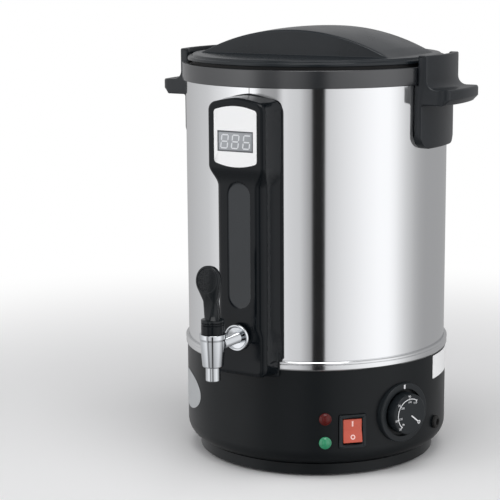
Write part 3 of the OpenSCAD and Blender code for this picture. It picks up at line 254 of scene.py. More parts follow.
def sheet_steel(name, colour, roughness, brush, seam=0.0):
    """Brushed stainless sheet: belt lines round it tilt the surface up and down, 26 of them to a millimetre.

    Each line runs for a ninth of a radian, and a seam of that half width in mm may run up its front.
    """
    lines_per_mm = 26
    runs_per_radian = 9.0
    material, tree = blank(name)
    place = put(tree, "ShaderNodeTexCoord").outputs["Object"]
    parts = put(tree, "ShaderNodeSeparateXYZ", {"Vector": place})
    turn = put(tree, "ShaderNodeMath", {0: parts.outputs["X"], 1: parts.outputs["Y"]}, operation="ARCTAN2")
    lines = put(tree, "ShaderNodeCombineXYZ", {"X": turn.outputs[0], "Y": 0.0, "Z": parts.outputs["Z"]})
    scaled = put(tree, "ShaderNodeVectorMath", {0: lines.outputs[0],
                 1: (runs_per_radian, 1.0, lines_per_mm / MM)}, operation="MULTIPLY")
    hair = put(tree, "ShaderNodeTexNoise", {"Vector": scaled.outputs[0], "Scale": 1.0, "Detail": 2.0})
    tilt = put(tree, "ShaderNodeMapRange", {"Value": hair.outputs["Fac"], "From Min": 0.3, "From Max": 0.7,
               "To Min": -brush, "To Max": brush})
    lean = put(tree, "ShaderNodeCombineXYZ", {"Z": tilt.outputs["Result"]})
    surface = put(tree, "ShaderNodeNewGeometry").outputs["Normal"]
    leant = put(tree, "ShaderNodeVectorMath", {0: surface, 1: lean.outputs[0]}, operation="ADD")
    way = put(tree, "ShaderNodeVectorMath", {0: leant.outputs[0]}, operation="NORMALIZE")
    haze = put(tree, "ShaderNodeTexNoise", {"Vector": place, "Scale": 18.0, "Detail": 2.0})
    patch = put(tree, "ShaderNodeMapRange", {"Value": haze.outputs["Fac"], "To Min": roughness - 0.01,
                "To Max": roughness + 0.02})
    tone = linear(colour)
    shader = put(tree, "ShaderNodeBsdfPrincipled", {"Base Color": tone, "Metallic": 1.0,
                 "Roughness": patch.outputs["Result"], "Normal": way.outputs[0]})
    if seam:
        line = put(tree, "ShaderNodeMath", {0: parts.outputs["X"], 1: 0.0, 2: seam * MM}, operation="COMPARE")
        front = put(tree, "ShaderNodeMath", {0: parts.outputs["Y"], 1: 0.0}, operation="LESS_THAN")
        mark = put(tree, "ShaderNodeMath", {0: line.outputs[0], 1: front.outputs[0]}, operation="MULTIPLY")
        lap = put(tree, "ShaderNodeMix", {"Factor": mark.outputs[0], 6: tone, 7: linear("6a6763")},
                  data_type="RGBA")
        tree.links.new(lap.outputs[2], shader.inputs["Base Color"])
    put(tree, "ShaderNodeOutputMaterial", {"Surface": shader.outputs["BSDF"]})
    return material


# A polished roll-formed band mirrors the room nearly as clearly as the jacket.
band_steel = sheet_steel("polished stainless steel", "d8d9da", 0.1, 0.02)
band = turned("joint_band", soften(band_profile, band_radii, 4), band_steel, count=384)
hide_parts("base_band")
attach(band, "melter")

# Jacket: thin stainless sheet rolled to a tube and lapped at the front, where the column hides most
# of its seam.
JACKET_HIGH = 356.0
SHEET = 0.8
jacket_profile = [[JACKET_R - SHEET, JACKET_LOW], [JACKET_R, JACKET_LOW], [JACKET_R, JACKET_HIGH],
                  [JACKET_R - SHEET, JACKET_HIGH]]
# Fine belt lines blur the mirrored room only a little, into broad bright and dark stripes.
jacket_steel = sheet_steel("brushed stainless steel", "dddedf", 0.085, 0.02, seam=0.35)
jacket = turned("steel_jacket", jacket_profile, jacket_steel, count=512)
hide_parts("jacket")
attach(jacket, "melter")

# Tank and lid liner: drawn stainless sheet, a little duller than the jacket. The shield below the tank
# is of the same sheet.
# Deep drawing dulls the sheet to a satin grey.
tank_steel = sheet_steel("satin stainless steel", "c3c4c4", 0.24, 0.15)
tank = refined("wax_tank", "inner_tank", tank_steel)
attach(tank, "melter")
dress(tank_steel, "tank_bottom", "heat_shield", "temperature_probe", "lid_liner")

# Heater: a cast aluminium plate with a sheathed element under the tank, held by the centre stud. The
# cut-out and the terminal block are of pressed ceramic.
# Sand casting leaves a rough light grey.
cast_plate = plated("sand-cast aluminium", "a8aaab", 0.45, 0.25)
dress(cast_plate, "heat_plate", "tap_spacer")
# Heat turns the sheath brown and dull.
sheath = plated("oxidised element sheath", "6f5f50", 0.5, 0.2)
dress(sheath, "heating_element")
# Pressed ceramic is cream and matt.
steatite = moulded("pressed steatite", "d8d2c2", "cbc4b2", 0.6, 1.5, 0.05)
dress(steatite, "thermal_cutout", "terminal_block")

# Thermostat and wiring: a brass housing with a copper capillary, tinned tabs and insulated leads.
# Rolled brass and drawn copper keep their yellow and red under a light gloss.
sheet_brass = plated("rolled brass", "b5965a", 0.3, 0.15)
dress(sheet_brass, "thermostat_body", "switch_tabs")
drawn_copper = plated("drawn copper", "b8754a", 0.28, 0.15)
dress(drawn_copper, "capillary_bulb")
# Silicone insulation is a soft blue skin.
insulation = moulded("extruded silicone insulation", "3f5f8f", "39557f", 0.5, 2.0, 0.03)
dress(insulation, "internal_wiring")
# Natural nylon is milky and slightly glossy.
nylon = moulded("natural nylon", "dcdbd2", "d2d1c6", 0.45, 1.0, 0.03)
dress(nylon, "lamp_nuts", "tap_seat")
dress(base_abs, "gland_nut")
# Silicone for food use is brick red and matt.
seal_rubber = moulded("red silicone rubber", "a44a34", "963f2b", 0.6, 0.8, 0.03)
dress(seal_rubber, "tap_gaskets")
# Solder mask is a glossy dark green lacquer.
solder_mask = moulded("green solder mask", "1f4a2c", "1a4026", 0.3, 3.0, 0.03)
dress(solder_mask, "display_module")

# Collar: slate-grey satin plastic ring that carries the tank rim and clips over the jacket.
COLLAR_R = 123.0
COLLAR_LOW = 346.5
COLLAR_HIGH = 362.0
collar_profile = [[JACKET_R + 0.1, COLLAR_LOW], [COLLAR_R, COLLAR_LOW], [COLLAR_R, COLLAR_HIGH],
                  [118.4, COLLAR_HIGH], [118.4, 359.0], [110.4, 359.0], [110.4, 352.0], [116.7, 352.0],
                  [119.1, 350.0], [119.1, JACKET_HIGH], [JACKET_R + 0.1, JACKET_HIGH]]
collar_radii = [0.3, 0.7, 0.8, 0.5, 0, 0, 0, 0, 0, 0, 0]
# Polypropylene from a satin die: a wide, clear sheen that follows the light round the ring.
satin_pp = moulded("slate satin polypropylene", "171a1e", "14171b", 0.22, 1.4, 0.01, gloss=1.0)
collar = turned("tank_collar", soften(collar_profile, collar_radii, 5), satin_pp, count=384)
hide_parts("collar")
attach(collar, "melter")

# Lid: a black polypropylene moulding, a flat disc with a stepped edge, a raised arch across it as its
# grip, a skirt below and one lug at each side.
# Slate polypropylene with a fine grain: nearly black, with a bluish sheen on its slopes.
lid_pp = moulded("slate black polypropylene", "1a2025", "171c20", 0.24, 1.4, 0.02, gloss=0.32)
lid_profile = [[0.0, 369.8], [113.5, 369.8], [114.1, 367.8], [118.0, 367.8], [118.0, 364.5], [107.0, 364.5],
               [107.0, 352.5], [104.6, 352.5], [104.6, 367.4], [0.0, 367.4]]
lid_radii = [0, 1.0, 0.5, 1.3, 0.8, 0.5, 0.6, 0.6, 0, 0]
disc = turned("lid_disc", soften(lid_profile, lid_radii, 5), lid_pp, count=384)


def skinned(name, rings, material, closed=True, capped=True, sharp=32):
    """A mesh through rings of points in mm; closed joins each ring's ends, capped closes both ends."""
    shell = bmesh.new()
    rows = [[shell.verts.new(Vector(p) * MM) for p in ring] for ring in rings]
    count = len(rings[0])
    for low, high in zip(rows, rows[1:]):
        for i in range(count if closed else count - 1):
            j = (i + 1) % count
            shell.faces.new((low[i], low[j], high[j], high[i]))
    if capped:
        shell.faces.new(rows[0][::-1])
        shell.faces.new(rows[-1])
    bmesh.ops.remove_doubles(shell, verts=shell.verts, dist=0.000003)
    bmesh.ops.dissolve_degenerate(shell, edges=shell.edges, dist=0.000001)
    bmesh.ops.recalc_face_normals(shell, faces=shell.faces)
    mesh = bpy.data.meshes.new(name)
    shell.to_mesh(mesh)
    shell.free()
    return finish_mesh(name, mesh, material, sharp)


def joined(name, *parts):
    """One object from several."""
    whole = bmesh.new()
    for part in parts:
        whole.from_mesh(part.data)
    mesh = parts[0].data
    whole.to_mesh(mesh)
    whole.free()
    for part in parts[1:]:
        spare = part.data
        bpy.data.objects.remove(part)
        bpy.data.meshes.remove(spare)
    parts[0].name = name
    return parts[0]


# Arch: a slice of a wide cylinder with a slight crown, and rounded along its upper edges.
ARCH_R = 214.34
ARCH_Z = 178.16
ARCH_REACH = 96.0
ARCH_HALF = 46.0
SHELF_Z = 369.8
arch = []
for k in range(129):
    x = ARCH_REACH * math.sin(math.pi * (k / 128 - 0.5))
    top = ARCH_Z + math.sqrt(ARCH_R ** 2 - x ** 2)
    rise = max(top - SHELF_Z, 0.0)
    edge = min(2.2, rise * 0.7)
    foot = min(0.8, rise * 0.3)
    crown = min(1.4, rise * 0.3)
    side = []
    for i in range(7):
        a = math.radians(90 * i / 6)
        side.append([ARCH_HALF + foot * (1 - math.sin(a)), SHELF_Z + foot * (1 - math.cos(a))])
    for i in range(13):
        a = math.radians(82 * i / 12)
        side.append([ARCH_HALF - edge * (1 - math.cos(a)), top - edge + edge * math.sin(a)])
    last_y, last_z = side[-1]
    over = []
    for i in range(1, 12):
        y = last_y * (1 - i / 12)
        over.append([y, last_z + crown * (1 - (y / last_y) ** 2)])
    half = side + over + [[0.0, last_z + crown]]
    section = [[x, y, z] for y, z in half] + [[x, -y, z] for y, z in half[-2::-1]]
    section.append([x, -(ARCH_HALF + foot), SHELF_Z - 1.0])
    section.append([x, ARCH_HALF + foot, SHELF_Z - 1.0])
    arch.append(section)
arch_piece = skinned("lid_arch", arch, lid_pp)
lugs = []
for turn in (-1, 1):
    corners = []
    for k in range(17):
        y = -18.0 + 36.0 * k / 16
        trim = 2.5 - math.sqrt(max(0.0, 2.5 ** 2 - max(0.0, abs(y) - 15.5) ** 2))
        reach = math.sqrt((126.0 - trim) ** 2 - y ** 2)
        inner = math.sqrt(115.0 ** 2 - y ** 2)
        outline = [[inner, 364.5], [reach - 0.4, 364.5], [reach, 364.9], [reach, 367.5], [reach - 0.8, 368.3],
                   [inner, 368.3]]
        corners.append([[turn * x, y, z] for x, z in outline])
    lugs.append(skinned("lug", corners, lid_pp))
lid = joined("lid", disc, arch_piece, *lugs)
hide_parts("lid_shell")
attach(lid, "lid")
# Silicone rubber is black and matt.
gasket_rubber = moulded("black silicone rubber", "1a1a1b", "151516", 0.6, 1.0, 0.03)
dress(gasket_rubber, "lid_gasket")

# Side grips: one moulding each, with an upright at the lid, a ledge to lift by and a bracket that is
# screwed from inside the jacket.
# The grips are of the same plastic as the lid, a shade greyer and with a coarser grain for the hand.
grip_pp = moulded("charcoal polypropylene", "1e2226", "1a1e22", 0.3, 1.4, 0.03, gloss=0.35)
GRIP_HALF = 34.3
GRIP_LOW = 290.0
GRIP_HIGH = 372.0
GRIP_CORNER = 14.0
POCKET_HALF = 27.3


def corner_cut(t, radius):
    """How far a corner of that radius at the end of the grip draws the outline back at t."""
    past = abs(t) - (GRIP_HALF - radius)
    return radius - math.sqrt(max(0.0, radius ** 2 - past ** 2)) if past > 0 else 0.0


def drawn_in(points, amount):
    """The closed outline moved inward by an amount in mm."""
    result = []
    count = len(points)
    for i, p in enumerate(points):
        along = Vector(points[(i + 1) % count]) - Vector(points[i - 1])
        if along.length < 1e-6:
            result.append(list(p))
            continue
        inward = Vector((-along.y, along.x)).normalized()
        result.append([p[0] + inward.x * amount, p[1] + inward.y * amount])
    return result


def grip(turn):
    """A side grip lofted along its width; turn is -1 at the left and 1 at the right."""
    stations = [GRIP_HALF * s for s in (-1, -0.998, -0.992, -0.982, -0.97, -0.956)]
    stations += [-GRIP_HALF + 1.5 + i * 0.8 for i in range(1, 16)]
    stations += [-19.0 + i * 2.0 for i in range(20)]
    stations += [-t for t in stations[20::-1]]
    rings = []
    for t in stations:
        pocket = abs(t) < POCKET_HALF
        inner = 127.3 if pocket else COLLAR_R + 0.3
        outline = [[JACKET_R + 0.2, GRIP_LOW], [127.0, GRIP_LOW], [127.0, 329.0], [145.5, 329.0],
                   [151.0, 334.5], [151.0, 343.0], [131.3, 343.0], [131.3, GRIP_HIGH], [inner, GRIP_HIGH],
                   [inner, 363.0], [COLLAR_R + 0.3, 363.0], [COLLAR_R + 0.3, 346.1], [JACKET_R + 0.2, 346.1]]
        radii = [0.6, 1.5, 2.0, 2.5, 2.0, 2.5, 8.0, 1.4, 1.0, 0, 0.2 if pocket else 0, 0, 0]
        outline = soften(outline, radii, 6)
        end = GRIP_HALF - abs(t)
        draw = 1.5 - math.sqrt(max(0.0, 1.5 ** 2 - (1.5 - end) ** 2)) if end < 1.5 else 0.0
        outline = drawn_in(outline, draw)
        low = GRIP_LOW + corner_cut(t, GRIP_CORNER) + draw
        reach = 152.0 - corner_cut(t, GRIP_CORNER) - draw
        ring = []
        for r, z in outline:
            away = min(math.sqrt(r ** 2 - t ** 2), reach)
            ring.append([turn * away, t, max(z, low)])
        rings.append(ring)
    return skinned("grip", rings, grip_pp)


for side_name, turn in (("left_handle", -1), ("right_handle", 1)):
    handle = grip(turn)
    handle.name = side_name + "_grip"
    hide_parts(side_name)
    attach(handle, "melter")

# Column cover: a glossy black ABS moulding with a flange along the jacket. Its head carries the
# display and its foot the tap.
BOSS_END = 126.0
WAIST_START = 141.0
WAIST_MIDDLE = 200.0
WAIST_END = 262.0
FACE_WAIST_END = 261.0
HEAD_START = 281.0
WINDOW_Z = 302.5
# Polished dies give ABS a deep black gloss that mirrors the room faintly.
gloss_abs = moulded("gloss black ABS", "101418", "0d1114", 0.15, 3.0, 0.01, gloss=0.17)


def eased(value, low, high, start, end):
    """Smooth change from one measure to another while value goes from low to high."""
    share = min(1.0, max(0.0, (value - low) / (high - low)))
    share = share * share * (3 - 2 * share)
    return start + (end - start) * share


def along_column(z, boss, waist, head, waist_end=WAIST_END):
    """A measure that has one value at the boss, one at the waist and one at the head, at height z."""
    if z < WAIST_MIDDLE:
        return eased(z, BOSS_END, WAIST_START, boss, waist)
    return eased(z, waist_end, HEAD_START, waist, head)


def column_face(z):
    """Distance of the face from the axis of the pot at height z."""
    return along_column(z, 141.5, 138.6, 143.5, FACE_WAIST_END)


def column_half(widths, low, high, low_corner, high_corner, slope, apex):
    """Right half of an outline, from its foot up to its apex."""
    foot, head = widths[0], widths[2]
    lean = math.radians(slope)
    side_end = high - high_corner / math.tan(math.radians(90 + slope) / 2)
    points = [[(foot - low_corner) * i / 8, low] for i in range(9)]
    for i in range(1, 9):
        a = math.radians(90 * i / 8)
        points.append([foot - low_corner + low_corner * math.sin(a), low + low_corner * (1 - math.cos(a))])
    start = low + low_corner
    for i in range(1, 321):
        z = start + (side_end - start) * i / 320
        points.append([along_column(z, *widths), z])
    for i in range(1, 11):
        a = (math.pi / 2 - lean) * i / 10
        points.append([head - high_corner * (1 - math.cos(a)), side_end + high_corner * math.sin(a)])
    x, z = points[-1]
    bend_x = max(0.0, x - (apex - z) / math.tan(lean))
    for i in range(1, 15):
        t = i / 14
        points.append([x * (1 - t) ** 2 + 2 * bend_x * t * (1 - t), z * (1 - t) ** 2
                       + 2 * apex * t * (1 - t) + apex * t ** 2])
    return points


def drawn_half(points, amount):
    """A half outline moved inward; its ends stay on the middle line."""
    result = []
    for i, (x, z) in enumerate(points):
        before = points[max(i - 1, 0)]
        after = points[min(i + 1, len(points) - 1)]
        along = Vector((after[0] - before[0], after[1] - before[1])).normalized()
        shift = Vector((-along.y, along.x)) * (amount[i] if isinstance(amount, list) else amount)
        if i in (0, len(points) - 1):
            shift.x = 0.0
        result.append([max(0.0, x + shift.x), z + shift.y])
    return result


face_half = column_half((27.1, 24.6, 28.3), 96.2, 334.5, 8.0, 8.0, 12.9, 339.6)
foot_half = column_half((30.4, 29.2, 30.6), 95.7, 335.5, 8.0, 8.0, 12.0, 340.6)
flange_half = column_half((31.6, 31.6, 31.6), 93.8, 334.5, 6.0, 12.0, 15.4, 341.5)


def narrowed(half, width):
    """The half outline drawn in to a half width where it steps over the steel band."""
    return [[min(x, eased(z, 107.0, 112.0, width, width + 3.2)), z] for x, z in half]


foot_half = narrowed(foot_half, 28.4)
flange_half = narrowed(flange_half, 29.2)


def rounding(z):
    """Radius of the rounded edge of the face at height z."""
    return along_column(z, 5.0, 9.0, 3.5)


def back(z):
    """Radius of the back of the flange, which steps out over the steel band."""
    return 123.15 if z < BAND_HIGH + 0.2 else JACKET_R + 0.2


def front(z):
    """Radius of the front of the flange."""
    return eased(z, BAND_HIGH, BAND_HIGH + 3.5, 124.6, 121.8)


def on_pot(half, surface, lower=0.0):
    """The half outline laid on the round surface, less the amount that it is lower by."""
    return [[x, -math.sqrt((surface(z) - lower) ** 2 - x ** 2), z] for x, z in half]


# The cover as levels of half outlines: the flange, the cove up to the face, and the rounded edge.
levels = []
levels.append(on_pot(flange_half, back))
levels.append(on_pot(flange_half, front, 0.4))
levels.append(on_pot(drawn_half(flange_half, 0.15), front, 0.1))
levels.append(on_pot(drawn_half(flange_half, 0.5), front))
foot_line = on_pot(foot_half, front)
rim_line = [[x, -(column_face(z) - rounding(z)), z] for x, z in face_half]
levels.append([list(p) for p in foot_line])
for k in range(1, 11):
    s = k / 10
    lift = 1 - (1 - s) ** 1.6
    levels.append([[f[0] + (g[0] - f[0]) * lift, f[1] + (g[1] - f[1]) * s, f[2] + (g[2] - f[2]) * lift]
                   for f, g in zip(foot_line, rim_line)])
for k in range(1, 13):
    a = math.radians(90 * k / 12)
    inner = drawn_half(face_half, [rounding(z) * (1 - math.cos(a)) for _, z in face_half])
    levels.append([[x, -(column_face(q[1]) - rounding(q[1]) * (1 - math.sin(a))), z]
                   for (x, z), q in zip(inner, face_half)])
GROOVE_LOW = 167.0
GROOVE_HIGH = 255.4
GROOVE_HALF = 11.6


def groove(x, z):
    """Depth of the shallow groove in the waist."""
    past = max(GROOVE_LOW - z, 0.0, z - GROOVE_HIGH)
    away = math.hypot(x, past) - GROOVE_HALF
    return eased(away, -0.9, 0.0, 0.8, 0.0)


def seat(x, z):
    """Depth of the seat of the display window, under its label."""
    return eased(max(abs(x) - 18.8, abs(z - WINDOW_Z) - 12.0), -0.8, 0.0, 1.15, 0.0)


def lattice(shell, edge, columns, place):
    """Rows of faces across from the left to the right of a half outline."""
    rows = []
    for x, _, z in edge:
        rows.append([shell.verts.new(Vector(place(x * (2 * i / columns - 1), z)) * MM)
                     for i in range(columns + 1)])
    for low, high in zip(rows, rows[1:]):
        for i in range(columns):
            shell.faces.new((low[i], low[i + 1], high[i + 1], high[i]))


shell = bmesh.new()
loops = []
for half in levels:
    loop = [[x, y, z] for x, y, z in half] + [[-x, y, z] for x, y, z in half[-2:0:-1]]
    loops.append([shell.verts.new(Vector(p) * MM) for p in loop])
for low, high in zip(loops, loops[1:]):
    for i in range(len(low)):
        j = (i + 1) % len(low)
        shell.faces.new((low[i], low[j], high[j], high[i]))
depths = {round(z, 3): -y for x, y, z in levels[-1]}
lattice(shell, levels[-1], 96, lambda x, z: (x, -(depths[round(z, 3)] - groove(x, z) - seat(x, z)), z))
lattice(shell, levels[0], 24, lambda x, z: (x, -math.sqrt(back(z) ** 2 - x ** 2), z))
bmesh.ops.remove_doubles(shell, verts=shell.verts, dist=0.00001)
bmesh.ops.dissolve_degenerate(shell, edges=shell.edges, dist=0.000001)
bmesh.ops.recalc_face_normals(shell, faces=shell.faces)
mesh = bpy.data.meshes.new("column")
shell.to_mesh(mesh)
shell.free()
column = finish_mesh("column", mesh, gloss_abs, sharp=40)
# The floor of the groove is painted a shade lighter, a painted reflection of the room, and is glossier so
# that it takes more of its light.
groove_painted_sheen_abs = moulded("gloss black ABS, groove with painted reflection", "1f2428", "1b2024", 0.2, 3.0, 0.01, gloss=0.4)
mesh.materials.append(groove_painted_sheen_abs)
for face in mesh.polygons:
    spot = face.center / MM
    if spot.y < -125 and groove(spot.x, spot.z) > 0.7:
        face.material_index = 1
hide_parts("column_cover")
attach(column, "melter")

# Display film and window: a white polyester label let into the head of the column, and a grey window
# in it over the three digits of the thermometer.
# Printed polyester is plain white and nearly matt.
white_film = moulded("white polyester film", "ffffff", "fcfdfd", 0.4, 2.0, 0.004)
film = refined("display_film", "display_label", white_film)
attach(film, "melter")
# Smoked polycarbonate over an unlit board looks mid grey.
window_pc = moulded("smoked polycarbonate", "a6a9ad", "a1a4a8", 0.2, 3.0, 0.003, gloss=0.3)
glass = refined("display_glass", "display_window", window_pc)
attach(glass, "melter")


def printed(name, outlines, place, material, thick=0.04):
    """Thin prints from flat outlines in mm; place finds the point that is so far across, up and out."""
    shell = bmesh.new()
    for outline in outlines:
        low = [shell.verts.new(Vector(place(x, y, 0.0)) * MM) for x, y in outline]
        high = [shell.verts.new(Vector(place(x, y, thick)) * MM) for x, y in outline]
        shell.faces.new(low[::-1])
        shell.faces.new(high)
        for i in range(len(outline)):
            j = (i + 1) % len(outline)
            shell.faces.new((low[i], low[j], high[j], high[i]))
    bmesh.ops.recalc_face_normals(shell, faces=shell.faces)
    mesh = bpy.data.meshes.new(name)
    shell.to_mesh(mesh)
    shell.free()
    return finish_mesh(name, mesh, material)


def bar(x0, y0, x1, y1):
    """Outline of an upright rectangle."""
    return [[x0, y0], [x1, y0], [x1, y1], [x0, y1]]


def seven_segments(character, x, y, width, height, stroke):
    """Outlines of the lit segments of one leaning digit."""
    lit = {"0": "abcdef", "6": "acdefg", "8": "abcdefg"}[character]
    half = stroke / 2
    inset = stroke * 0.62
    lean = 0.13
    middle = height / 2
    ends = {"a": ((inset, height - half), (width - inset, height - half)),
            "g": ((inset, middle), (width - inset, middle)),
            "d": ((inset, half), (width - inset, half)),
            "f": ((half, middle + inset), (half, height - inset)),
            "b": ((width - half, middle + inset), (width - half, height - inset)),
            "e": ((half, inset), (half, middle - inset)),
            "c": ((width - half, inset), (width - half, middle - inset))}
    outlines = []
    for name in lit:
        start, end = Vector(ends[name][0]), Vector(ends[name][1])
        along = (end - start).normalized() * half
        side = Vector((-along.y, along.x))
        outline = [start, start + along - side, end - along - side, end, end - along + side,
                   start + along + side]
        outlines.append([[x + p.x + p.y * lean, y + p.y] for p in outline])
    return outlines


edge_w = 17.7
edge_h = 8.9
line = 1.1
window_edge = [bar(-edge_w, -edge_h, edge_w, -edge_h + line), bar(-edge_w, edge_h - line, edge_w, edge_h),
               bar(-edge_w, -edge_h + line, -edge_w + line, edge_h - line),
               bar(edge_w - line, -edge_h + line, edge_w, edge_h - line)]
# Screen ink lies flat and matt.
edge_ink = moulded("grey screen ink", "585b5f", "53565a", 0.45, 2.0, 0.003)
edging = printed("window_edge", window_edge, lambda x, y, out: (x, -(143.67 + out), WINDOW_Z + y), edge_ink)
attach(edging, "melter")
digits = []
for place_at, character in ((-15.3, "8"), (-4.6, "8"), (6.6, "6")):
    digits += seven_segments(character, place_at, -6.6, 7.6, 12.6, 1.2)
# The lit segments are painted pale, a painted glow; they give no light of their own.
segment_glow_white = moulded("lit display segment", "e4e6e9", "dcdfe2", 0.4, 2.0, 0.003)
reading = printed("display_digits", digits, lambda x, y, out: (x, -(143.5 + out), WINDOW_Z + y), segment_glow_white)
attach(reading, "melter")

# Tap: a chrome-plated brass body on a threaded shank, with an escutcheon on the column and a nozzle
# below. A black bonnet closes its top.
# Bright chrome mirrors the room sharply, in light and dark stripes along each turned piece.
chrome = plated("bright chrome on brass", "cdd0d3", 0.05, 0.02)
TAP = (0.0, -182.6, 0.0)
SHANK_Z = 131.0
FORWARD = (0, -1, 0)
tap_profile = [[6.3, 101.6], [6.3, 114.0], [8.9, 114.0], [11.0, 137.4], [11.5, 139.2], [11.5, 143.0],
               [8.2, 143.0], [8.2, 118.0], [4.0, 118.0], [4.0, 101.6]]
tap_radii = [1.0, 0.4, 1.5, 1.2, 1.0, 0.7, 0.3, 0, 0, 0.4]
barrel = turned("barrel", soften(tap_profile, tap_radii, 6), chrome, origin=TAP, count=192)
hub = turned("hub", soften([[4.86, 170.2], [6.0, 170.2], [6.0, 173.2], [4.86, 173.2]], [0, 0.3, 0, 0], 4),
             chrome, origin=(0, 0, SHANK_Z), axis=FORWARD, count=128)
tap_body = joined("tap_barrel", barrel, hub)
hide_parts("tap_body")
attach(tap_body, "melter")
rosette_profile = [[4.86, 141.55], [12.0, 141.55], [12.0, 143.8], [11.0, 146.2], [9.2, 144.3], [4.86, 143.9]]
rosette = turned("tap_rosette", soften(rosette_profile, [0, 0.3, 0.9, 0.9, 0.8, 0.3], 6), chrome,
                 origin=(0, 0, SHANK_Z), axis=FORWARD, count=192)
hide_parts("tap_escutcheon")
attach(rosette, "melter")
shank = refined("tap_pipe", "tap_shank", chrome, sharp=40)
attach(shank, "melter")
bonnet_profile = [[8.1, 139.0], [8.1, 143.05], [9.9, 143.05], [9.9, 150.4], [9.2, 150.9], [9.9, 151.4],
                  [9.9, 152.8], [2.26, 152.8], [2.26, 139.0]]
bonnet_radii = [0.4, 0, 0.5, 0.2, 0.2, 0.2, 0.5, 0.2, 0]
bonnet = turned("tap_cap", soften(bonnet_profile, bonnet_radii, 5), gloss_abs, origin=TAP, count=192)
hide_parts("tap_bonnet")
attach(bonnet, "melter")
dress(zinc, "thermostat_shaft", "tap_stem", "tap_pin")
# The spring sits between the valve seat and the bonnet and shortens by the lift of the stem in the real tap;
# here it moves with the stem and gets a mesh of its own.
spring = refined("tap_coil", "tap_spring", zinc)
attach(spring, "stem")
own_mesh(spring)

# Lever: a black moulding that rocks on the bonnet. Its paddle is a round plate with a raised rim and
# a pebbled face for the thumb.
# The lever is black and handled smooth, so it is glossier than the base.
lever_abs = moulded("black lever ABS", "15191c", "121619", 0.22, 1.2, 0.02, gloss=0.25)
blade = refined("blade", "tap_lever", lever_abs, sharp=38)
LEAN = math.radians(82)
PADDLE_Y = -188.1
PADDLE_Z = 189.8
PADDLE_TALL = 1.1


def at_paddle(x, y, out):
    """Point on the leaning face of the paddle."""
    return (x, PADDLE_Y + y * math.cos(LEAN) - out * math.sin(LEAN),
            PADDLE_Z + y * math.sin(LEAN) + out * math.cos(LEAN))


def moved(piece, place):
    """Carries each vertex, in mm, to where place puts it."""
    for vertex in piece.data.vertices:
        vertex.co = Vector(place(*(vertex.co / MM))) * MM
    return piece


rim_profile = [[9.3, 2.9], [10.3, 2.9], [10.3, 3.3], [9.3, 3.3]]
rim = turned("rim", soften(rim_profile, [0, 0, 0.3, 0.3], 4), lever_abs, count=128)
moved(rim, lambda x, y, out: at_paddle(x, y * PADDLE_TALL, out))


def pebble_tree():
    """Geometry nodes: small domes on a jittered grid inside an ellipse."""
    tree = bpy.data.node_groups.new("pebbles", "GeometryNodeTree")
    tree.interface.new_socket("Geometry", in_out="OUTPUT", socket_type="NodeSocketGeometry")
    for name in ("Reach", "Spacing", "Dome"):
        tree.interface.new_socket(name, in_out="INPUT", socket_type="NodeSocketFloat")
    tree.interface.new_socket("Seed", in_out="INPUT", socket_type="NodeSocketInt")
    tree.interface.new_socket("Material", in_out="INPUT", socket_type="NodeSocketMaterial")
    given = tree.nodes.new("NodeGroupInput").outputs
    span = put(tree, "ShaderNodeMath", {0: given["Reach"], 1: 2.3}, operation="MULTIPLY")
    count = put(tree, "ShaderNodeMath", {0: span.outputs[0], 1: given["Spacing"]}, operation="DIVIDE")
    grid = put(tree, "GeometryNodeMeshGrid", {"Size X": span.outputs[0], "Size Y": span.outputs[0],
               "Vertices X": count.outputs[0], "Vertices Y": count.outputs[0]})
    place = put(tree, "GeometryNodeInputPosition").outputs[0]
    flat = put(tree, "ShaderNodeVectorMath", {0: place, 1: (1.0, 1 / PADDLE_TALL, 1.0)}, operation="MULTIPLY")
    away = put(tree, "ShaderNodeVectorMath", {0: flat.outputs[0]}, operation="LENGTH")
    outside = put(tree, "FunctionNodeCompare", {0: away.outputs["Value"], 1: given["Reach"]})
    kept = put(tree, "GeometryNodeDeleteGeometry", {"Geometry": grid.outputs["Mesh"],
               "Selection": outside.outputs[0]})
    most = put(tree, "ShaderNodeMath", {0: given["Spacing"], 1: 0.25}, operation="MULTIPLY")
    least = put(tree, "ShaderNodeMath", {0: most.outputs[0], 1: -1.0}, operation="MULTIPLY")
    jitter = put(tree, "FunctionNodeRandomValue", {"Seed": given["Seed"]}, data_type="FLOAT_VECTOR")
    ahead_by = put(tree, "ShaderNodeCombineXYZ", {"X": most.outputs[0], "Y": most.outputs[0]})
    back_by = put(tree, "ShaderNodeCombineXYZ", {"X": least.outputs[0], "Y": least.outputs[0]})
    tree.links.new(back_by.outputs[0], jitter.inputs[0])
    tree.links.new(ahead_by.outputs[0], jitter.inputs[1])
    spread = put(tree, "GeometryNodeSetPosition", {"Geometry": kept.outputs[0], "Offset": jitter.outputs[0]})
    dome = put(tree, "GeometryNodeMeshIcoSphere", {"Radius": given["Dome"], "Subdivisions": 2})
    domes = put(tree, "GeometryNodeInstanceOnPoints", {"Points": spread.outputs[0],
                "Instance": dome.outputs["Mesh"], "Scale": (1.0, 1.0, 0.6)})
    solid = put(tree, "GeometryNodeRealizeInstances", {"Geometry": domes.outputs[0]})
    dressed = put(tree, "GeometryNodeSetMaterial", {"Geometry": solid.outputs[0],
                  "Material": given["Material"]})
    put(tree, "NodeGroupOutput", {"Geometry": dressed.outputs[0]})
    return tree


def grown(name, tree, values):
    """A plain mesh object made once by a node tree, with its named inputs set."""
    holder = bpy.data.objects.new(name + "_seed", bpy.data.meshes.new(name + "_seed"))
    bpy.context.scene.collection.objects.link(holder)
    modifier = holder.modifiers.new(name, "NODES")
    modifier.node_group = tree
    for item in tree.interface.items_tree:
        if item.in_out == "INPUT":
            modifier[item.identifier] = values[item.name]
    bpy.context.view_layer.update()
    mesh = bpy.data.meshes.new_from_object(holder.evaluated_get(bpy.context.evaluated_depsgraph_get()))
    spare = holder.data
    bpy.data.objects.remove(holder)
    bpy.data.meshes.remove(spare)
    return finish_mesh(name, mesh, values["Material"], 60)
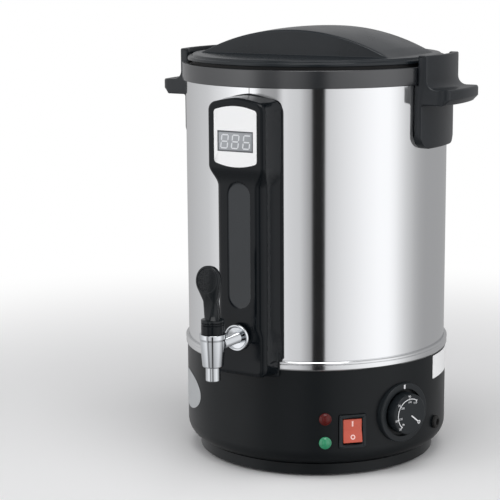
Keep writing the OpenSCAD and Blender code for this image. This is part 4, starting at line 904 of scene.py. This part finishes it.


# The pebbles are painted a lighter grey than the lever, a painted sheen for the highlights that the pebbled
# die scatters.
pebble_sheen_abs = moulded("pebbled black ABS, painted sheen", "2b2f33", "25292d", 0.3, 1.2, 0.02)
pebbles = grown("pebbles", pebble_tree(), {"Reach": 8.6 * MM, "Spacing": 1.4 * MM, "Dome": 0.55 * MM,
                                           "Seed": 3, "Material": pebble_sheen_abs})
moved(pebbles, lambda x, y, out: at_paddle(x, y, 3.0 + out))
lever = joined("thumb_lever", blade, rim, pebbles)
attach(lever, "lever")

# Dial: a black ring moulded as its own piece and screwed to the base, with a white mark at the top.
# The knob turns in it on the shaft of the thermostat and carries a printed scale.
DIAL = math.radians(68)
dial_out = Vector((math.sin(DIAL), -math.cos(DIAL), 0.0))
dial_across = Vector((math.cos(DIAL), math.sin(DIAL), 0.0))
dial_centre = Vector((0.0, 0.0, 55.5))
RING_FACE = 124.5
KNOB_FACE = 131.95
# A satin die gives ring and knob a soft, even black.
knob_abs = moulded("satin black ABS", "1d2225", "191d20", 0.36, 1.0, 0.02, gloss=0.25)


def at_dial(x, y, out):
    """Point so far across, above and out from the axis of the pot at the dial."""
    return dial_centre + dial_across * x + Vector((0, 0, y)) + dial_out * out


ring_profile = [[21.3, 117.5], [27.2, 117.5], [27.0, RING_FACE], [21.3, RING_FACE]]
ring = turned("dial_ring", soften(ring_profile, [0, 0, 1.1, 0.6], 8), knob_abs, origin=dial_centre,
              axis=dial_out, count=192)
# The back of the ring is fitted to the round wall of the base.
for vertex in ring.data.vertices:
    p = vertex.co / MM
    short = math.sqrt((BASE_R + 0.15) ** 2 - p.dot(dial_across) ** 2) - p.dot(dial_out)
    if short > 0:
        vertex.co = (p + dial_out * short) * MM
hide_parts("dial_bezel")
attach(ring, "melter")
knob_profile = [[0.0, KNOB_FACE], [18.3, KNOB_FACE], [18.7, 122.5], [16.6, 122.5], [16.4, 130.0],
                [5.6, 130.0], [5.6, 122.9], [3.06, 122.9], [3.06, 129.6], [0.0, 129.6]]
knob = turned("dial_cap", soften(knob_profile, [0, 1.3, 0.3, 0, 0.5, 0.4, 0, 0, 0, 0], 8), knob_abs,
              origin=dial_centre, axis=dial_out, count=192)
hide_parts("dial_knob")
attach(knob, "dial")
# Pad-printed ink is flat white and matt.
white_ink = moulded("white pad-printing ink", "f2f3f4", "ebecee", 0.5, 2.0, 0.003)
mark = printed("dial_mark", [bar(-0.9, 21.9, 0.9, 25.7)],
               lambda x, y, out: at_dial(x, y, RING_FACE + 0.01 + out), white_ink)
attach(mark, "melter")


def arc_band(radius, width, start, end, steps=48):
    """Outline of a band along an arc; angles in degrees run clockwise from straight up."""
    outline = []
    for r, order in ((radius + width / 2, range(steps + 1)), (radius - width / 2, range(steps, -1, -1))):
        for i in order:
            a = math.radians(start + (end - start) * i / steps)
            outline.append([r * math.sin(a), r * math.cos(a)])
    return outline


def turned_bar(angle, r0, r1, width):
    """Outline of a straight line from one radius to another at an angle clockwise from straight up."""
    a = math.radians(angle)
    along = Vector((math.sin(a), math.cos(a)))
    side = Vector((along.y, -along.x)) * width / 2
    corners = (along * r0 - side, along * r1 - side, along * r1 + side, along * r0 + side)
    return [list(corner) for corner in corners]


# Half the thickness of the printed figures.
INK = 0.02


def numeral(text, x, y, size, material):
    """Flat figures centred at a point, as a mesh in mm."""
    curve = bpy.data.curves.new("figures", "FONT")
    curve.body = text
    curve.size = size * MM
    curve.extrude = INK * MM
    curve.align_x = "CENTER"
    curve.align_y = "CENTER"
    holder = bpy.data.objects.new("figures", curve)
    bpy.context.scene.collection.objects.link(holder)
    bpy.context.view_layer.update()
    mesh = bpy.data.meshes.new_from_object(holder.evaluated_get(bpy.context.evaluated_depsgraph_get()))
    bpy.data.objects.remove(holder)
    bpy.data.curves.remove(curve)
    for vertex in mesh.vertices:
        vertex.co += Vector((x, y, 0)) * MM
    return finish_mesh("figures", mesh, material)


# Scale: an arc with five ticks, their figures outside and inside it, and a pointer that ends in a ring.
SCALE_R = 14.0
POINTER = 129
scale = [arc_band(SCALE_R, 0.7, -138, 34), turned_bar(POINTER, 2.4, 12.5, 1.1)]
circle = Vector((math.sin(math.radians(POINTER)), math.cos(math.radians(POINTER)))) * (SCALE_R - 0.1)
for start in (0, 180):
    scale.append([[x + circle.x, y + circle.y] for x, y in arc_band(1.25, 0.75, start, start + 180, 12)])
for angle in (34, -2, -52, -103, -138):
    scale.append(turned_bar(angle, SCALE_R - 0.9, SCALE_R + 0.9, 0.7))
lines = printed("lines", scale, lambda x, y, out: at_dial(x, y, KNOB_FACE + 0.01 + out), white_ink)
figures = []
for text, angle, radius, size in (("90", -2, 16.4, 2.9), ("194", -2, 11.2, 2.6), ("70", -52, 16.4, 2.9),
                                  ("158", -52, 11.2, 2.6), ("50", -103, 16.4, 2.9), ("122", -103, 11.2, 2.6),
                                  ("30", -136, 16.4, 2.9), ("86", -136, 11.2, 2.6), ("110", 32, 11.4, 2.9)):
    a = math.radians(angle)
    figures.append(numeral(text, radius * math.sin(a), radius * math.cos(a), size, white_ink))
figures = joined("figures", *figures)
moved(figures, lambda x, y, out: at_dial(x, y, KNOB_FACE + 0.03 + out))
dial_scale = joined("dial_scale", lines, figures)
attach(dial_scale, "dial")

# Rocker switch: a snap-in frame of black nylon with a red-orange rocker on two studs. The rocker rests
# on, with its upper half pressed in.
# Nylon has a light grain and a dull black sheen.
frame_pa = moulded("black nylon, lightly textured", "1f2427", "1b1f22", 0.38, 0.9, 0.02, gloss=0.25)
switch_edge = refined("switch_bezel", "switch_frame", frame_pa)
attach(switch_edge, "melter")
SWITCH = math.radians(44)
SWITCH_D = 118.6
SWITCH_Z = 44.5
TILT = math.radians(-7)
switch_out = Vector((math.sin(SWITCH), -math.cos(SWITCH), 0.0))
switch_across = Vector((math.cos(SWITCH), math.sin(SWITCH), 0.0))


def at_rocker(x, up, out):
    """Point so far across, up and out from the axis on which the rocker turns."""
    reach = out * math.cos(TILT) + up * math.sin(TILT)
    rise = up * math.cos(TILT) - out * math.sin(TILT)
    return switch_across * x + switch_out * (SWITCH_D + reach) + Vector((0, 0, SWITCH_Z + rise))


side_view = soften([[4.8, -10.9], [3.5, 0.0], [4.8, 10.9], [-1.0, 9.4], [-4.0, 3.0], [-4.0, -3.0],
                    [-1.0, -9.4]], [0.8, 6.0, 0.8, 1.0, 1.0, 1.0, 1.0], 8)
slices = []
for k in range(7):
    a = math.radians(90 * k / 6)
    slices.append([-8.7 + 0.7 * (1 - math.cos(a)), 0.7 * (1 - math.sin(a))])
slices += [[-x, draw] for x, draw in slices[::-1]]
rings = [[at_rocker(x, up, out) for out, up in drawn_in(side_view, draw)] for x, draw in slices]
# Tinted polycarbonate is glossy and takes a clear highlight.
orange_pc = moulded("salmon-red polycarbonate", "c9523a", "bb4830", 0.22, 3.0, 0.01, coat=0.2)
key = skinned("key", rings, orange_pc, sharp=40)
studs = turned("studs", [[0.0, -10.2], [1.2, -10.2], [1.2, 10.2], [0.0, 10.2]], orange_pc,
               origin=at_rocker(0, 0, 0), axis=switch_across, count=48)
rocker = joined("rocker", key, studs)
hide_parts("switch_rocker")
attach(rocker, "rocker")
# White ink on the tinted rocker looks pink.
pink_ink = moulded("pale pad-printing ink", "fbd3cc", "f6cac2", 0.45, 2.0, 0.003)
signs = [[[x, y + 6.3] for x, y in bar(-0.7, -2.4, 0.7, 2.4)]]
for start in (0, 180):
    signs.append([[x, y - 5.6] for x, y in arc_band(1.7, 1.0, start, start + 180, 16)])
marks = printed("rocker_marks", signs, lambda x, up, out: at_rocker(x, up, 3.49 + 1.3 * abs(up) / 10.9 + out),
                pink_ink)
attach(marks, "rocker")

# Lamps and cord bush: two domed lenses held by nuts inside the base, the red one above the green one.
# The bush is a soft black grommet for the cord.
LAMP = math.radians(32.5)
lamp_out = Vector((math.sin(LAMP), -math.cos(LAMP), 0.0))
lens_profile = [[0.0, 113.0], [4.4, 113.0], [4.4, 121.85], [5.5, 121.85], [5.5, 122.55], [5.0, 122.75]]
for k in range(1, 13):
    a = math.radians(53.1 * (1 - k / 12))
    lens_profile.append([6.25 * math.sin(a), 118.95 + 6.25 * math.cos(a)])
# Unlit lenses of tinted styrene: dark and smooth, with one small highlight.
red_lens = moulded("red lamp lens", "5a1412", "450e0c", 0.12, 3.0, 0.01, gloss=0.25)
green_lens = moulded("green lamp lens", "2f9468", "26805a", 0.1, 3.0, 0.01, coat=0.2)
for name, node, lens_plastic, z in (("red_lens", "red_lamp", red_lens, 56.4),
                                    ("green_lens", "green_lamp", green_lens, 34.8)):
    lens_cap = turned(name, lens_profile, lens_plastic, origin=(0, 0, z), axis=lamp_out, count=128)
    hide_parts(node)
    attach(lens_cap, "melter")
GLAND = math.radians(92)
bush_profile = [[3.2, 107.0], [4.5, 107.0], [4.5, 121.8], [6.0, 121.8], [6.0, 124.2], [4.4, 125.0],
                [3.2, 125.0]]
bush = turned("cord_bush", soften(bush_profile, [0, 0, 0, 0.3, 0.9, 0.4, 0.4], 6), foot_rubber,
              origin=(0, 0, 35.0), axis=(math.sin(GLAND), -math.cos(GLAND), 0), count=128)
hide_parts("cord_gland")
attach(bush, "melter")

# Sticker and badge: thin films glued to the base, white at the right and grey at the left.
sticker = refined("side_sticker", "rating_sticker", white_film)
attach(sticker, "melter")
# Aluminised foil is a soft silver grey.
grey_film = moulded("brushed grey foil", "b4b7b9", "adb0b2", 0.35, 2.0, 0.004)
badge = refined("oval_badge", "round_badge", grey_film)
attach(badge, "melter")


# Studio: a pale floor that fades into white, one soft lamp above, and a grey room whose light and dark
# walls the metal mirrors.
def studio_floor():
    """A pale floor that shows the shadow and fades to white away from the piece."""
    material, tree = blank("studio floor")
    place = put(tree, "ShaderNodeTexCoord").outputs["Object"]
    away = put(tree, "ShaderNodeVectorMath", {0: place}, operation="LENGTH")
    fade = put(tree, "ShaderNodeMapRange", {"Value": away.outputs["Value"], "From Min": 0.35,
               "From Max": 0.9}, interpolation_type="SMOOTHSTEP")
    path = put(tree, "ShaderNodeLightPath")
    pale = put(tree, "ShaderNodeBsdfDiffuse", {"Color": linear("f4f4f4")})
    white = put(tree, "ShaderNodeEmission", {"Color": (1, 1, 1, 1), "Strength": 1.0})
    clear = put(tree, "ShaderNodeBsdfTransparent")
    seen = put(tree, "ShaderNodeMath", {0: fade.outputs["Result"], 1: path.outputs["Is Camera Ray"]},
               operation="MULTIPLY")
    ground = put(tree, "ShaderNodeMixShader", {"Fac": seen.outputs[0], 1: pale.outputs[0],
                 2: white.outputs[0]})
    shown = put(tree, "ShaderNodeMixShader", {"Fac": path.outputs["Is Glossy Ray"], 1: ground.outputs[0],
                2: clear.outputs[0]})
    put(tree, "ShaderNodeOutputMaterial", {"Surface": shown.outputs[0]})
    return material


bpy.ops.mesh.primitive_plane_add(size=12, location=(0, 0, 0))
floor = bpy.context.object
floor.name = "floor"
floor.data.materials.append(studio_floor())

world = bpy.data.worlds.new("studio")
bpy.context.scene.world = world
world.use_nodes = True
sky = world.node_tree
sky.nodes.clear()
VIEW_AZIMUTH = 28.7
look = put(sky, "ShaderNodeSeparateXYZ", {"Vector": put(sky, "ShaderNodeTexCoord").outputs["Generated"]})
forward = put(sky, "ShaderNodeMath", {0: look.outputs["Y"], 1: -1.0}, operation="MULTIPLY")
azimuth = put(sky, "ShaderNodeMath", {0: look.outputs["X"], 1: forward.outputs[0]}, operation="ARCTAN2")
turned_to = put(sky, "ShaderNodeMath", {0: azimuth.outputs[0], 1: math.radians(180 - VIEW_AZIMUTH)},
                operation="ADD")
share = put(sky, "ShaderNodeMath", {0: turned_to.outputs[0], 1: 2 * math.pi}, operation="DIVIDE")
whole = put(sky, "ShaderNodeMath", {0: share.outputs[0]}, operation="FRACT")
walls = put(sky, "ShaderNodeValToRGB", {"Fac": whole.outputs[0]})
# Azimuths in degrees from the camera's, with the brightness of the studio that way. The levels were
# adjusted until the stripes on the jacket came near those of the real one.
WALLS = [[-180, 0.3], [-110, 0.55], [-86, 0.75], [-66, 1.0], [-55, 0.95], [-48, 0.35], [-34, 0.3],
         [-28, 0.68], [-23, 0.62], [-14, 0.57], [-4.2, 0.28], [-3.5, 0.015], [7.1, 0.01], [8.1, 0.57],
         [24, 0.73], [43, 0.89], [56, 0.97], [66, 0.97], [73, 0.87], [79, 0.73], [85, 0.6], [91, 0.51],
         [97, 0.42], [104, 0.36], [112, 0.33], [180, 0.3]]
# Sines of the elevation, with the share of that brightness.
HEIGHTS = [[-1.0, 0.2], [-0.8, 0.35], [-0.6, 0.5], [-0.42, 0.78], [-0.3, 0.92], [0.4, 1.0], [0.7, 0.85],
           [0.9, 0.35], [1.0, 0.2]]


def painted(ramp, stops, low, high):
    """Sets the stops of a colour ramp in grey."""
    for value, _ in stops[1:-1]:
        ramp.elements.new((value - low) / (high - low))
    ramp.elements[0].position = 0.0
    ramp.elements[-1].position = 1.0
    for element, (_, level) in zip(ramp.elements, stops):
        element.color = (level, level, level, 1.0)


painted(walls.color_ramp, WALLS, -180, 180)
height = put(sky, "ShaderNodeMapRange", {"Value": look.outputs["Z"], "From Min": -1.0, "From Max": 1.0})
bands = put(sky, "ShaderNodeValToRGB", {"Fac": height.outputs["Result"]})
painted(bands.color_ramp, HEIGHTS, -1, 1)
room = put(sky, "ShaderNodeMix", {"Factor": 1.0, 6: walls.outputs["Color"], 7: bands.outputs["Color"]},
           data_type="RGBA", blend_type="MULTIPLY")
bright = put(sky, "ShaderNodeVectorMath", {0: room.outputs[2], 1: (1.45, 1.45, 1.47)}, operation="MULTIPLY")
path = put(sky, "ShaderNodeLightPath")
backdrop = put(sky, "ShaderNodeMix", {"Factor": path.outputs["Is Camera Ray"], 6: bright.outputs[0],
               7: (1.0, 1.0, 1.0, 1.0)}, data_type="RGBA")
surround = put(sky, "ShaderNodeBackground", {"Color": backdrop.outputs[2], "Strength": 1.0})
put(sky, "ShaderNodeOutputWorld", {"Surface": surround.outputs[0]})


def lamp(name, place, target, size, power):
    """A soft square lamp in metres and watts, aimed at a point."""
    light = bpy.data.lights.new(name, "AREA")
    light.shape = "SQUARE"
    light.size = size
    light.energy = power
    holder = bpy.data.objects.new(name, light)
    holder.location = place
    holder.rotation_euler = (Vector(target) - Vector(place)).to_track_quat("-Z", "Y").to_euler()
    bpy.context.scene.collection.objects.link(holder)


lamp("top_lamp", (0.3, -0.5, 1.8), (0, 0, 0.2), 1.2, 14.0)

# Camera: fitted to the rims and upright edges of the pot.
YAW = math.radians(-2.371)
PITCH = math.radians(10.576)
ROLL = math.radians(-0.393)
SIDE = math.radians(VIEW_AZIMUTH)
ahead = Vector((math.sin(YAW) * math.cos(PITCH), math.cos(YAW) * math.cos(PITCH), -math.sin(PITCH)))
level = ahead.cross(Vector((0, 0, 1))).normalized()
upright = level.cross(ahead)
across = math.cos(ROLL) * level + math.sin(ROLL) * upright
above = -math.sin(ROLL) * level + math.cos(ROLL) * upright
spin = Matrix.Rotation(SIDE, 3, "Z")
axes = Matrix((spin @ across, spin @ above, spin @ -ahead)).transposed().to_4x4()
lens = bpy.data.cameras.new("camera")
lens.sensor_width = 36.0
lens.lens = 116.967
lens.clip_start = 0.05
camera = bpy.data.objects.new("camera", lens)
camera.matrix_world = Matrix.Translation((0.7203, -1.3157, 0.4654)) @ axes
bpy.context.scene.collection.objects.link(camera)
bpy.context.scene.camera = camera
bpy.context.scene.view_settings.view_transform = "Standard"
